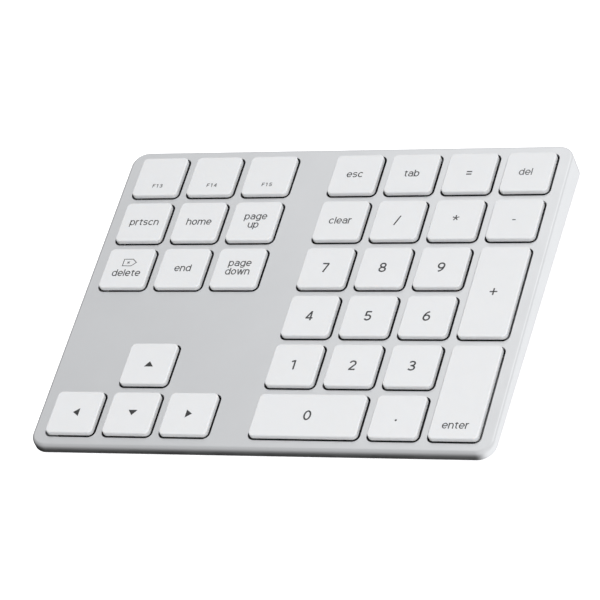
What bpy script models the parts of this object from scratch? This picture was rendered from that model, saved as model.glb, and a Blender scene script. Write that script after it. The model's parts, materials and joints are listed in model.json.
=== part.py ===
"""Slim numeric keypad: a wedge-shaped aluminium case, low sprung keys and everything that works below them.

Lengths are in metres. The world has +X to the right, +Y to the back and +Z up, and the table is at Z = 0.
The deck, which is the case's top face, leans forward by DECK_TILT. The case, the keys and the electronics are
children of the empty "deck": its local XY plane is the deck's face, local Y runs up the deck and local Z
stands out of it. The base cover, its screws, the feet and the battery lie flat and have no parent.
"""

import math

import bmesh
import bpy
from mathutils import Vector

MM = 0.001

# Case
CASE_WIDTH = 149.7 * MM
CASE_DEPTH = 119.1 * MM
CASE_CORNER = 5.3 * MM
CASE_WALL = 1.9 * MM
PANEL_THICKNESS = 1.2 * MM
SIDE_ROUNDING = 0.9 * MM
FRONT_INSET = 1.5 * MM
FRONT_DROP = 2.6 * MM
DECK_TILT = math.radians(2.44)
DECK_FRONT_HEIGHT = 4.7 * MM
RIM_FRONT = 1.8 * MM
RIM_REAR = 1.0 * MM

# Keys
KEY_PITCH = 19.0 * MM
KEY_WIDTH = 15.7 * MM
KEY_CORNER = 1.6 * MM
KEY_WALL = 0.9 * MM
KEY_TOP = 1.57 * MM
KEY_CEILING = 0.45 * MM
KEY_SKIRT = -0.1 * MM
KEY_EDGE = 0.4 * MM
KEY_TRAVEL = 1.5 * MM
KEY_GAP = 0.6 * MM
CLUSTER_SPACING = 29.34 * MM
FRONT_ROW_INSET = 12.35 * MM

# Sheets below the keys, as heights of their top faces from the deck
DOME_SHEET_TOP = -2.3 * MM
MEMBRANE_TOP = -2.6 * MM
PLATE_TOP = -2.9 * MM
SHEET_THICKNESS = 0.2 * MM
PLATE_THICKNESS = 0.3 * MM
SHEET_WIDTH = 136.0 * MM
SHEET_DEPTH = 108.0 * MM
SHEET_CORNER = 2.0 * MM
DOME_BASE_RADIUS = 2.8 * MM
DOME_TOP_RADIUS = 1.5 * MM
DOME_TOP = 0.25 * MM

# Posts below the deck that hold the plate
STAKE_RADIUS = 0.8 * MM
STAKE_HOLE_RADIUS = 1.1 * MM
STAKE_END = -3.4 * MM
STAKE_ROWS = (0.5, 4.5)

# Stabiliser bars below the three double keys
BAR_RADIUS = 0.4 * MM
BAR_ARM = 5.0 * MM
BAR_PIVOT_HEIGHT = -1.65 * MM
BAR_REACH = 4.6 * MM
BAR_HALF_LENGTH = 13.0 * MM
BAR_STUB = 2.4 * MM
BAR_BEND = 0.9 * MM
CRADLE_OFFSET = 14.4 * MM
CRADLE_THICKNESS = 0.6 * MM
CRADLE_WIDTH = 2.2 * MM
CRADLE_SLOT_RADIUS = 0.6 * MM
CRADLE_TOP = -1.3 * MM
CRADLE_CLEARANCE = 0.3 * MM

# Base cover, feet and screws
BASE_INSET = 2.2 * MM
BASE_BOTTOM = 0.6 * MM
BASE_FLOOR = 1.4 * MM
BASE_WALL = 1.0 * MM
BASE_WALL_TOP = 3.2 * MM
BASE_CHAMFER = 0.4 * MM
FOOT_RADIUS = 4.5 * MM
FOOT_THICKNESS = 0.8 * MM
FOOT_CHAMFER = 0.2 * MM
FOOT_RECESS_TOP = 0.95 * MM
FOOT_X = 62.0 * MM
FOOT_Y = 47.0 * MM
SCREW_X = 69.8 * MM
SCREW_ROWS = (1.5, 4.5)
SCREW_HEAD_RADIUS = 1.4 * MM
SCREW_RADIUS = 0.8 * MM
SCREW_BOTTOM = 0.65 * MM
SCREW_HEAD_TOP = 1.2 * MM
SCREW_TIP = 4.0 * MM
SCREW_SOCKET_RADIUS = 0.65 * MM
SCREW_SOCKET_TOP = 0.95 * MM
SCREW_HOLE_RADIUS = 0.95 * MM
SCREW_BORE_TOP = 4.2 * MM
COUNTERBORE_RADIUS = 1.7 * MM
COUNTERBORE_TOP = 1.35 * MM
SCREW_PAD_RADIUS = 2.1 * MM
SCREW_PAD_TOP = 2.2 * MM
BOSS_RADIUS = 1.55 * MM
BOSS_BOTTOM = 2.45 * MM

# Board and the fittings in the rear wall
BOARD_LEFT = -34.0 * MM
BOARD_RIGHT = 52.0 * MM
BOARD_FRONT = 43.7 * MM
BOARD_BACK = 56.0 * MM
BOARD_TOP = -6.7 * MM
BOARD_THICKNESS = 0.8 * MM
REAR_CENTRE = -5.0 * MM
REAR_RECESS = 0.25 * MM
FIT_GAP = 0.15 * MM
USB_X = 0.0 * MM
USB_WIDTH = 8.94 * MM
USB_HEIGHT = 3.2 * MM
USB_LENGTH = 7.3 * MM
USB_SHELL = 0.32 * MM
USB_CAVITY_DEPTH = 6.0 * MM
USB_TONGUE_WIDTH = 6.7 * MM
USB_TONGUE_HEIGHT = 0.7 * MM
USB_TONGUE_LENGTH = 4.4 * MM
LED_X = 14.0 * MM
LED_RADIUS = 0.7 * MM
LED_FLANGE_RADIUS = 1.1 * MM
SWITCH_X = 30.0 * MM
SWITCH_TRAVEL = 2.0 * MM
SWITCH_NUB_WIDTH = 3.0 * MM
SWITCH_NUB_HEIGHT = 1.6 * MM
SWITCH_STEM_WIDTH = 2.0 * MM
SWITCH_STEM_HEIGHT = 1.0 * MM
SWITCH_HOUSING_WIDTH = 8.0 * MM
SWITCH_HOUSING_HEIGHT = 2.8 * MM
SWITCH_HOUSING_DEPTH = 3.4 * MM
SWITCH_POCKET_DEPTH = 1.6 * MM
PAIRING_X = 45.0 * MM
PAIRING_RADIUS = 1.3 * MM
PAIRING_FLANGE_RADIUS = 1.8 * MM
PAIRING_TRAVEL = 0.4 * MM
PAIRING_SWITCH_WIDTH = 4.4 * MM
PAIRING_SWITCH_HEIGHT = 3.0 * MM
PAIRING_SWITCH_DEPTH = 2.4 * MM
PAIRING_PLUNGER_RADIUS = 0.8 * MM
MOVING_GAP = 0.3 * MM

# Battery and ribbon cable
BATTERY_X = -10.0 * MM
BATTERY_Y = 19.0 * MM
BATTERY_WIDTH = 46.0 * MM
BATTERY_DEPTH = 32.0 * MM
BATTERY_BOTTOM = 1.9 * MM
BATTERY_TOP = 3.8 * MM
PAD_BOTTOM = 1.5 * MM
PAD_TOP = 1.8 * MM
PAD_INSET = 3.0 * MM
RIBBON_X = -24.0 * MM
RIBBON_WIDTH = 10.0 * MM
RIBBON_THICKNESS = 0.15 * MM
RIBBON_SLOT_Y = 40.5 * MM
RIBBON_SLOT_DEPTH = 2.0 * MM
CONNECTOR_HEIGHT = 1.2 * MM
CONNECTOR_DEPTH = 2.6 * MM

# How finely round shapes are divided: steps in each quarter turn
CASE_STEPS = 6
KEY_STEPS = 3
ROUND_STEPS = 4
SMALL_STEPS = 2

# Rows run from the front to the back, and a row's keys from left to right. A gap is None.
KEY_ROWS = (
    ("key_arrow_left", "key_arrow_down", "key_arrow_right", "key_0", None, "key_decimal", "key_enter"),
    (None, "key_arrow_up", None, "key_1", "key_2", "key_3", None),
    (None, None, None, "key_4", "key_5", "key_6", "key_plus"),
    ("key_forward_delete", "key_end", "key_page_down", "key_7", "key_8", "key_9", None),
    ("key_print_screen", "key_home", "key_page_up", "key_clear", "key_divide", "key_multiply", "key_minus"),
    ("key_f13", "key_f14", "key_f15", "key_escape", "key_tab", "key_equals", "key_delete"),
)
LEFT_COLUMNS = 3
WIDE_KEYS = ("key_0",)
TALL_KEYS = ("key_enter", "key_plus")

# The deck's empty: its height, and the shift that centres the leaning case on Y = 0
DECK_Z = DECK_FRONT_HEIGHT + CASE_DEPTH / 2 * math.sin(DECK_TILT)
REAR_WALL_HEIGHT = (DECK_Z + CASE_DEPTH / 2 * math.sin(DECK_TILT) - RIM_REAR) / math.cos(DECK_TILT)
DECK_Y = -(FRONT_DROP + REAR_WALL_HEIGHT) / 2 * math.sin(DECK_TILT)
REAR_FACE = CASE_DEPTH / 2
BAR_ANGLE = math.asin(KEY_TRAVEL / BAR_ARM)


def clear_scene():
    for old in list(bpy.data.objects):
        bpy.data.objects.remove(old, do_unlink=True)


def material(name, colour, roughness, metallic=0.0):
    """A Principled material with one colour."""
    made = bpy.data.materials.new(name)
    made.use_nodes = True
    shader = made.node_tree.nodes["Principled BSDF"]
    shader.inputs["Base Color"].default_value = (*colour, 1.0)
    shader.inputs["Roughness"].default_value = roughness
    shader.inputs["Metallic"].default_value = metallic
    return made


# Outlines and lofts


def rounded_outline(width, depth, radius, steps):
    """Points anticlockwise round a rounded rectangle, each with its outward direction."""
    outline = []
    for quarter, (side_x, side_y) in enumerate(((1, 1), (-1, 1), (-1, -1), (1, -1))):
        centre = Vector((side_x * (width / 2 - radius), side_y * (depth / 2 - radius)))
        for step in range(steps + 1):
            angle = (quarter + step / steps) * math.pi / 2
            outward = Vector((math.cos(angle), math.sin(angle)))
            outline.append((centre + outward * radius, outward))
    return outline


def circle_outline(radius, steps):
    return rounded_outline(2 * radius, 2 * radius, radius, steps)


def level_ring(outline, z, inset=0.0, centre=(0.0, 0.0)):
    """The outline lying flat at height z, drawn in by inset."""
    return [
        Vector((centre[0] + point.x - outward.x * inset, centre[1] + point.y - outward.y * inset, z))
        for point, outward in outline
    ]


def upright_ring(outline, y, centre, inset=0.0):
    """The outline standing across the Y axis, with centre as its (x, z)."""
    return [
        Vector((centre[0] + point.x - outward.x * inset, y, centre[1] + point.y - outward.y * inset))
        for point, outward in outline
    ]


def add_loft(mesh, rings):
    """One closed body through rings of equal length, flat at both ends."""
    loops = [[mesh.verts.new(point) for point in ring] for ring in rings]
    for first, second in zip(loops, loops[1:]):
        for here in range(len(first)):
            after = (here + 1) % len(first)
            mesh.faces.new((first[here], first[after], second[after], second[here]))
    mesh.faces.new(list(reversed(loops[0])))
    mesh.faces.new(loops[-1])


def lofted(*bodies):
    """A mesh of one or more lofts."""
    mesh = bmesh.new()
    for rings in bodies:
        add_loft(mesh, rings)
    return mesh


def block(low, high):
    """Rings of a plain block between two corners."""
    width = high[0] - low[0]
    depth = high[1] - low[1]
    centre = Vector(((low[0] + high[0]) / 2, (low[1] + high[1]) / 2))
    corners = ((1, 1), (-1, 1), (-1, -1), (1, -1))
    return [
        [Vector((centre.x + x * width / 2, centre.y + y * depth / 2, z)) for x, y in corners]
        for z in (low[2], high[2])
    ]


def upright_cylinder(centre, radius, low, high, steps):
    outline = circle_outline(radius, steps)
    return [level_ring(outline, low, centre=centre), level_ring(outline, high, centre=centre)]


# Objects


def new_object(name, mesh, parent=None, location=(0.0, 0.0, 0.0)):
    """Turns a bmesh into an object with outward faces and smooth rounded edges."""
    bmesh.ops.remove_doubles(mesh, verts=mesh.verts, dist=1e-7)
    bmesh.ops.recalc_face_normals(mesh, faces=mesh.faces)
    data = bpy.data.meshes.new(name)
    mesh.to_mesh(data)
    mesh.free()
    data.shade_smooth()
    data.set_sharp_from_angle(angle=math.radians(40))
    made = bpy.data.objects.new(name, data)
    bpy.context.scene.collection.objects.link(made)
    made.parent = parent
    made.location = location
    return made


def piece(name, mesh, finish, parent=None, location=(0.0, 0.0, 0.0)):
    made = new_object(name, mesh, parent, location)
    made.data.materials.append(finish)
    return made


def helper(name, mesh, parent=None):
    """A shape that only a Boolean uses."""
    made = new_object(name, mesh, parent)
    made.hide_render = True
    made.display_type = "WIRE"
    return made


def combine(target, operation, other):
    step = target.modifiers.new(other.name, "BOOLEAN")
    step.operation = operation
    step.solver = "EXACT"
    step.object = other


# Layout


def column_x(column):
    """The middle of a key column. The two blocks of columns stand symmetrically about X = 0."""
    last = len(KEY_ROWS[0]) - 1
    span = (last - 1) * KEY_PITCH + CLUSTER_SPACING
    step_over = CLUSTER_SPACING - KEY_PITCH if column >= LEFT_COLUMNS else 0.0
    return -span / 2 + column * KEY_PITCH + step_over


def row_y(row):
    """The middle of a key row on the deck. Half rows are the lands between two rows."""
    return -CASE_DEPTH / 2 + FRONT_ROW_INSET + row * KEY_PITCH


def key_layout():
    """Each key's name, middle and size on the deck."""
    keys = []
    for row, names in enumerate(KEY_ROWS):
        for column, name in enumerate(names):
            if name is None:
                continue
            more_wide = KEY_PITCH if name in WIDE_KEYS else 0.0
            more_deep = KEY_PITCH if name in TALL_KEYS else 0.0
            x = column_x(column) + more_wide / 2
            y = row_y(row) + more_deep / 2
            keys.append((name, x, y, KEY_WIDTH + more_wide, KEY_WIDTH + more_deep))
    return keys


def double_keys():
    """Each double key's name and middle, with the directions along it and across it."""
    along_x = Vector((1.0, 0.0, 0.0))
    along_y = Vector((0.0, 1.0, 0.0))
    for name, x, y, _, _ in key_layout():
        if name in WIDE_KEYS:
            yield name, Vector((x, y, 0.0)), along_x, along_y
        elif name in TALL_KEYS:
            yield name, Vector((x, y, 0.0)), along_y, along_x


def stake_places():
    """Posts stand where four lands meet."""
    between_left_keys = (column_x(0) + column_x(1)) / 2
    between_blocks = (column_x(2) + column_x(3)) / 2
    between_right_keys = (column_x(4) + column_x(5)) / 2
    return [
        (x, row_y(row))
        for x in (between_left_keys, between_blocks, between_right_keys)
        for row in STAKE_ROWS
    ]


def screw_places():
    """The screws' places on the table plane."""
    return [
        (side * SCREW_X, DECK_Y + row_y(row) * math.cos(DECK_TILT))
        for side in (-1, 1)
        for row in SCREW_ROWS
    ]


def foot_places():
    return {
        "foot_front_left": (-FOOT_X, -FOOT_Y),
        "foot_front_right": (FOOT_X, -FOOT_Y),
        "foot_rear_left": (-FOOT_X, FOOT_Y),
        "foot_rear_right": (FOOT_X, FOOT_Y),
    }


def deck_height(y):
    """World height of the deck's face at a world Y."""
    return DECK_Z + (y - DECK_Y) * math.tan(DECK_TILT)


def on_table_plane(point, z):
    """Moves a point of the deck's frame along the deck's normal until its world height is z."""
    depth = (z - DECK_Z - point.y * math.sin(DECK_TILT)) / math.cos(DECK_TILT)
    return Vector((point.x, point.y, depth))


# Case


def on_rim(point):
    """Moves a point of the deck's frame down to the walls' lower edge, which drops a little to the back."""
    share = point.y / CASE_DEPTH + 0.5
    return on_table_plane(point, RIM_FRONT + (RIM_REAR - RIM_FRONT) * share)


def case_edge(outward):
    """How far the rounding between deck and wall draws in, and how far it drops: fuller along the front."""
    toward_front = max(0.0, -outward.y) ** 2
    inset = SIDE_ROUNDING + (FRONT_INSET - SIDE_ROUNDING) * toward_front
    drop = SIDE_ROUNDING + (FRONT_DROP - SIDE_ROUNDING) * toward_front
    return inset, drop


def case_shell():
    """The case with no openings: deck, rounded edge, walls down to the rim, and the hollow inside."""
    outline = rounded_outline(CASE_WIDTH, CASE_DEPTH, CASE_CORNER, CASE_STEPS)
    ceiling = level_ring(outline, -PANEL_THICKNESS, inset=CASE_WALL)
    inner_rim = [on_rim(point) for point in ceiling]
    outer_rim = [on_rim(Vector((*point, 0.0))) for point, _ in outline]
    rings = [ceiling, inner_rim, outer_rim]
    rounding_steps = 4
    for step in range(rounding_steps + 1):
        turn = step / rounding_steps * math.pi / 2
        ring = []
        for point, outward in outline:
            inset, drop = case_edge(outward)
            drawn_in = point - outward * inset * (1 - math.cos(turn))
            ring.append(Vector((*drawn_in, -drop * (1 - math.sin(turn)))))
        rings.append(ring)
    return lofted(rings)


def key_openings():
    """A cutter with one rounded prism for each key."""
    margin = 1.0 * MM
    bodies = []
    for _, x, y, width, depth in key_layout():
        outline = rounded_outline(
            width + 2 * KEY_GAP, depth + 2 * KEY_GAP, KEY_CORNER + KEY_GAP, KEY_STEPS
        )
        bodies.append([
            level_ring(outline, -PANEL_THICKNESS - margin, centre=(x, y)),
            level_ring(outline, margin, centre=(x, y)),
        ])
    return lofted(*bodies)


def rear_openings():
    """A cutter for the socket, light, switch and button in the rear wall."""
    inside = REAR_FACE - CASE_WALL - 1.0 * MM
    outside = REAR_FACE + 1.0 * MM
    usb = rounded_outline(
        USB_WIDTH + 2 * FIT_GAP, USB_HEIGHT + 2 * FIT_GAP, USB_HEIGHT / 2 + FIT_GAP, ROUND_STEPS
    )
    switch = rounded_outline(
        SWITCH_NUB_WIDTH + SWITCH_TRAVEL + 2 * MOVING_GAP,
        SWITCH_NUB_HEIGHT + 2 * MOVING_GAP,
        SWITCH_NUB_HEIGHT / 2,
        SMALL_STEPS,
    )
    led = circle_outline(LED_RADIUS + FIT_GAP, SMALL_STEPS)
    pairing = circle_outline(PAIRING_RADIUS + MOVING_GAP, ROUND_STEPS)
    openings = ((usb, USB_X), (switch, SWITCH_X), (led, LED_X), (pairing, PAIRING_X))
    return lofted(*[
        [upright_ring(outline, y, (x, REAR_CENTRE)) for y in (inside, outside)]
        for outline, x in openings
    ])


def stakes(radius, low, high):
    return lofted(*[
        upright_cylinder(place, radius, low, high, SMALL_STEPS) for place in stake_places()
    ])


def screw_bosses():
    """Upright posts that reach from inside the deck's thickness down to the base cover."""
    bodies = []
    for place in screw_places():
        top = deck_height(place[1]) - PANEL_THICKNESS / 2
        bodies.append(upright_cylinder(place, BOSS_RADIUS, BOSS_BOTTOM, top, ROUND_STEPS))
    return lofted(*bodies)


def screw_columns(radius, low, high):
    return lofted(*[
        upright_cylinder(place, radius, low, high, ROUND_STEPS) for place in screw_places()
    ])


def build_top_case(deck):
    finish = material("bead_blasted_aluminium", (0.66, 0.67, 0.69), 0.38, 1.0)
    case = piece("top_case", case_shell(), finish, deck)
    stake_root = -PANEL_THICKNESS / 2
    combine(case, "DIFFERENCE", helper("key_openings", key_openings(), deck))
    combine(case, "DIFFERENCE", helper("rear_openings", rear_openings(), deck))
    combine(case, "UNION", helper("stakes", stakes(STAKE_RADIUS, STAKE_END, stake_root), deck))
    combine(case, "UNION", helper("screw_bosses", screw_bosses()))
    bores = screw_columns(SCREW_HOLE_RADIUS, 0.0, SCREW_BORE_TOP)
    combine(case, "DIFFERENCE", helper("boss_bores", bores))


# Keys


def keycap(width, depth):
    """A hollow cap about its own middle, open below."""
    outline = rounded_outline(width, depth, KEY_CORNER, KEY_STEPS)
    return lofted([
        level_ring(outline, KEY_CEILING, inset=KEY_WALL),
        level_ring(outline, KEY_SKIRT, inset=KEY_WALL),
        level_ring(outline, KEY_SKIRT),
        level_ring(outline, KEY_TOP - KEY_EDGE),
        level_ring(outline, KEY_TOP, inset=KEY_EDGE),
    ])


def build_keys(deck):
    for name, x, y, width, depth in key_layout():
        finish = material(name + "_plastic", (0.87, 0.88, 0.89), 0.42)
        piece(name, keycap(width, depth), finish, deck, (x, y, 0.0))


# Sheets below the keys


def sheet(top, thickness, width=SHEET_WIDTH, depth=SHEET_DEPTH):
    outline = rounded_outline(width, depth, SHEET_CORNER, SMALL_STEPS)
    return lofted([level_ring(outline, top - thickness), level_ring(outline, top)])


def domes():
    """One rubber dome below the middle of each key."""
    overlap = SHEET_THICKNESS / 2
    base = circle_outline(DOME_BASE_RADIUS, SMALL_STEPS)
    crown = circle_outline(DOME_TOP_RADIUS, SMALL_STEPS)
    return lofted(*[
        [
            level_ring(base, DOME_SHEET_TOP - overlap, centre=(x, y)),
            level_ring(base, DOME_SHEET_TOP + overlap, centre=(x, y)),
            level_ring(crown, DOME_TOP, centre=(x, y)),
        ]
        for _, x, y, _, _ in key_layout()
    ])


def pivot_of(middle, across):
    """The stabiliser's pivot, beside the middle of its key."""
    return middle + across * (BAR_REACH - BAR_ARM * math.cos(BAR_ANGLE))


def cradle_windows():
    """A cutter through the two sheets, with room for each cradle that stands on the plate."""
    bodies = []
    for _, middle, along, across in double_keys():
        pivot = pivot_of(middle, across)
        half_along = along * (CRADLE_THICKNESS / 2 + CRADLE_CLEARANCE)
        half = half_along + across * (CRADLE_WIDTH / 2 + CRADLE_CLEARANCE)
        for side in (-1, 1):
            place = pivot + along * side * CRADLE_OFFSET
            bodies.append(block(
                (place.x - half.x, place.y - half.y, PLATE_TOP - SHEET_THICKNESS / 4),
                (place.x + half.x, place.y + half.y, DOME_SHEET_TOP + SHEET_THICKNESS),
            ))
    return lofted(*bodies)


def build_sheets(deck):
    rubber = material("dome_silicone", (0.62, 0.63, 0.64), 0.55)
    film = material("membrane_film", (0.10, 0.11, 0.12), 0.35)
    windows = helper("cradle_windows", cradle_windows(), deck)
    holes = stakes(STAKE_HOLE_RADIUS, STAKE_END, DOME_SHEET_TOP + SHEET_THICKNESS)
    stake_holes = helper("stake_holes", holes, deck)
    dome_sheet = piece("dome_sheet", sheet(DOME_SHEET_TOP, SHEET_THICKNESS), rubber, deck)
    combine(dome_sheet, "UNION", helper("domes", domes(), deck))
    membrane = piece("membrane_sheet", sheet(MEMBRANE_TOP, SHEET_THICKNESS), film, deck)
    for one_sheet in (dome_sheet, membrane):
        combine(one_sheet, "DIFFERENCE", windows)
        combine(one_sheet, "DIFFERENCE", stake_holes)


def cradle_profile():
    """A post with an open slot at its top, as (across, height) from the pivot."""
    root = PLATE_TOP - PLATE_THICKNESS / 2 - BAR_PIVOT_HEIGHT
    top = CRADLE_TOP - BAR_PIVOT_HEIGHT
    half = CRADLE_WIDTH / 2
    profile = [(-half, root), (half, root), (half, top), (CRADLE_SLOT_RADIUS, top)]
    arc_steps = 4
    for step in range(arc_steps + 1):
        turn = -step / arc_steps * math.pi
        profile.append((CRADLE_SLOT_RADIUS * math.cos(turn), CRADLE_SLOT_RADIUS * math.sin(turn)))
    profile += [(-CRADLE_SLOT_RADIUS, top), (-half, top)]
    return profile


def cradles():
    bodies = []
    for _, middle, along, across in double_keys():
        pivot = pivot_of(middle, across) + Vector((0.0, 0.0, BAR_PIVOT_HEIGHT))
        for side in (-1, 1):
            place = pivot + along * side * CRADLE_OFFSET
            bodies.append([
                [place + along * end * CRADLE_THICKNESS / 2 + across * a + Vector((0.0, 0.0, h))
                 for a, h in cradle_profile()]
                for end in (-1, 1)
            ])
    return lofted(*bodies)


def ribbon_slot():
    half_width = RIBBON_WIDTH / 2 + MOVING_GAP
    half_depth = RIBBON_SLOT_DEPTH / 2
    return lofted(block(
        (RIBBON_X - half_width, RIBBON_SLOT_Y - half_depth, PLATE_TOP - 2 * PLATE_THICKNESS),
        (RIBBON_X + half_width, RIBBON_SLOT_Y + half_depth, PLATE_TOP + PLATE_THICKNESS),
    ))


def build_support_plate(deck):
    steel = material("plated_steel", (0.55, 0.56, 0.57), 0.35, 1.0)
    plate = piece("support_plate", sheet(PLATE_TOP, PLATE_THICKNESS), steel, deck)
    combine(plate, "UNION", helper("cradles", cradles(), deck))
    combine(plate, "DIFFERENCE", bpy.data.objects["stake_holes"])
    combine(plate, "DIFFERENCE", helper("ribbon_slot", ribbon_slot(), deck))


# Stabiliser bars


def bent_path(corners, bend, steps):
    """The polyline through the corners, with an arc of points in place of each inner corner."""
    path = [corners[0]]
    for before, corner, after in zip(corners, corners[1:], corners[2:]):
        arriving = (corner - before).normalized()
        leaving = (after - corner).normalized()
        start = corner - arriving * bend
        end = corner + leaving * bend
        for step in range(steps + 1):
            share = step / steps
            path.append(
                start * (1 - share) ** 2 + corner * 2 * share * (1 - share) + end * share**2
            )
    path.append(corners[-1])
    return path


def build_stabiliser(name, middle, along, across, deck):
    """A wire bar about its pivot: a stub at each end, two arms, and the run below the keycap."""
    up = Vector((0.0, 0.0, 1.0))
    reach = across * BAR_ARM * math.cos(BAR_ANGLE) + up * BAR_ARM * math.sin(BAR_ANGLE)
    left = -along * BAR_HALF_LENGTH
    right = along * BAR_HALF_LENGTH
    stub = along * BAR_STUB
    corners = [left - stub, left, left + reach, right + reach, right, right + stub]
    path = bent_path(corners, BAR_BEND, 3)
    curve = bpy.data.curves.new(name, "CURVE")
    curve.dimensions = "3D"
    curve.bevel_depth = BAR_RADIUS
    curve.bevel_resolution = 2
    curve.use_fill_caps = True
    curve.twist_mode = "MINIMUM"
    spline = curve.splines.new("POLY")
    spline.points.add(len(path) - 1)
    for point, place in zip(spline.points, path):
        point.co = (*place, 1.0)
    curve.materials.append(material(name + "_steel", (0.60, 0.60, 0.61), 0.25, 1.0))
    bar = bpy.data.objects.new(name, curve)
    bpy.context.scene.collection.objects.link(bar)
    bar.parent = deck
    bar.location = pivot_of(middle, across) + up * BAR_PIVOT_HEIGHT


def build_stabilisers(deck):
    for name, middle, along, across in double_keys():
        build_stabiliser(name.replace("key", "stabiliser"), middle, along, across, deck)


# Board and rear fittings


def component(x, y, width, depth, height):
    """A block that stands on the board and sinks a little into it."""
    sunk = BOARD_TOP - BOARD_THICKNESS / 2
    return block(
        (x - width / 2, y - depth / 2, sunk), (x + width / 2, y + depth / 2, BOARD_TOP + height)
    )


def ribbon_connector_y():
    return BOARD_FRONT + 1.0 * MM + CONNECTOR_DEPTH / 2


def board_components():
    middle = (BOARD_FRONT + BOARD_BACK) / 2
    return lofted(
        component(RIBBON_X, ribbon_connector_y(), RIBBON_WIDTH, CONNECTOR_DEPTH, CONNECTOR_HEIGHT),
        component(-11.0 * MM, middle, 5.0 * MM, 5.0 * MM, 0.9 * MM),
        component(19.5 * MM, middle - 1.0 * MM, 8.0 * MM, 6.0 * MM, 1.6 * MM),
        component(37.5 * MM, middle, 3.0 * MM, 3.0 * MM, 0.7 * MM),
        component(LED_X, BOARD_BACK - 1.4 * MM, 1.6 * MM, 1.2 * MM, 1.9 * MM),
    )


def build_board(deck):
    board_green = material("circuit_board", (0.03, 0.16, 0.08), 0.45)
    rings = block(
        (BOARD_LEFT, BOARD_FRONT, BOARD_TOP - BOARD_THICKNESS), (BOARD_RIGHT, BOARD_BACK, BOARD_TOP)
    )
    board = piece("controller_board", lofted(rings), board_green, deck)
    combine(board, "UNION", helper("board_components", board_components(), deck))


def build_usb_port(deck):
    """A metal shell with a blind cavity and the contact tongue in it."""
    steel = material("nickel_plated_shell", (0.62, 0.62, 0.63), 0.28, 1.0)
    mouth = REAR_FACE - REAR_RECESS
    cavity_floor = mouth - USB_CAVITY_DEPTH
    shell = rounded_outline(USB_WIDTH, USB_HEIGHT, USB_HEIGHT / 2, ROUND_STEPS)
    tongue = rounded_outline(
        USB_TONGUE_WIDTH, USB_TONGUE_HEIGHT, USB_TONGUE_HEIGHT / 2, ROUND_STEPS
    )
    centre = (USB_X, REAR_CENTRE)
    rings = [
        upright_ring(tongue, cavity_floor + USB_TONGUE_LENGTH, centre),
        upright_ring(tongue, cavity_floor, centre),
        upright_ring(shell, cavity_floor, centre, inset=USB_SHELL),
        upright_ring(shell, mouth, centre, inset=USB_SHELL),
        upright_ring(shell, mouth, centre),
        upright_ring(shell, mouth - USB_LENGTH, centre),
    ]
    piece("usb_c_port", lofted(rings), steel, deck)


def build_light_pipe(deck):
    clear = material("clear_acrylic", (0.85, 0.88, 0.90), 0.1)
    inner_face = REAR_FACE - CASE_WALL
    shaft = circle_outline(LED_RADIUS, SMALL_STEPS)
    flange = circle_outline(LED_FLANGE_RADIUS, SMALL_STEPS)
    centre = (LED_X, REAR_CENTRE)
    rings = [
        upright_ring(flange, BOARD_BACK - 0.4 * MM, centre),
        upright_ring(flange, inner_face - MOVING_GAP, centre),
        upright_ring(shaft, inner_face - MOVING_GAP, centre),
        upright_ring(shaft, REAR_FACE - REAR_RECESS, centre),
    ]
    piece("led_light_pipe", lofted(rings), clear, deck)


def build_power_switch(deck):
    """A housing with an open pocket, and the slider in it, which rests at the low-X end of its travel."""
    black = material("switch_housing_plastic", (0.03, 0.03, 0.03), 0.5)
    grey = material("switch_slider_plastic", (0.62, 0.63, 0.65), 0.45)
    back = BOARD_BACK
    housing = rounded_outline(SWITCH_HOUSING_WIDTH, SWITCH_HOUSING_HEIGHT, 0.3 * MM, SMALL_STEPS)
    pocket = rounded_outline(
        SWITCH_STEM_WIDTH + SWITCH_TRAVEL + 2 * MOVING_GAP,
        SWITCH_STEM_HEIGHT + 2 * MOVING_GAP,
        0.3 * MM,
        SMALL_STEPS,
    )
    centre = (SWITCH_X, REAR_CENTRE)
    rings = [
        upright_ring(pocket, back - SWITCH_POCKET_DEPTH, centre),
        upright_ring(pocket, back, centre),
        upright_ring(housing, back, centre),
        upright_ring(housing, back - SWITCH_HOUSING_DEPTH, centre),
    ]
    piece("power_switch_housing", lofted(rings), black, deck)
    stem = rounded_outline(SWITCH_STEM_WIDTH, SWITCH_STEM_HEIGHT, 0.2 * MM, SMALL_STEPS)
    nub = rounded_outline(SWITCH_NUB_WIDTH, SWITCH_NUB_HEIGHT, 0.5 * MM, SMALL_STEPS)
    stem_start = back - SWITCH_POCKET_DEPTH + MOVING_GAP - REAR_FACE
    nub_start = back + 2 * MOVING_GAP - REAR_FACE
    rings = [
        upright_ring(stem, stem_start, (0.0, 0.0)),
        upright_ring(stem, nub_start, (0.0, 0.0)),
        upright_ring(nub, nub_start, (0.0, 0.0)),
        upright_ring(nub, -REAR_RECESS, (0.0, 0.0)),
    ]
    place = (SWITCH_X - SWITCH_TRAVEL / 2, REAR_FACE, REAR_CENTRE)
    piece("power_switch_slider", lofted(rings), grey, deck, place)


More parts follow.
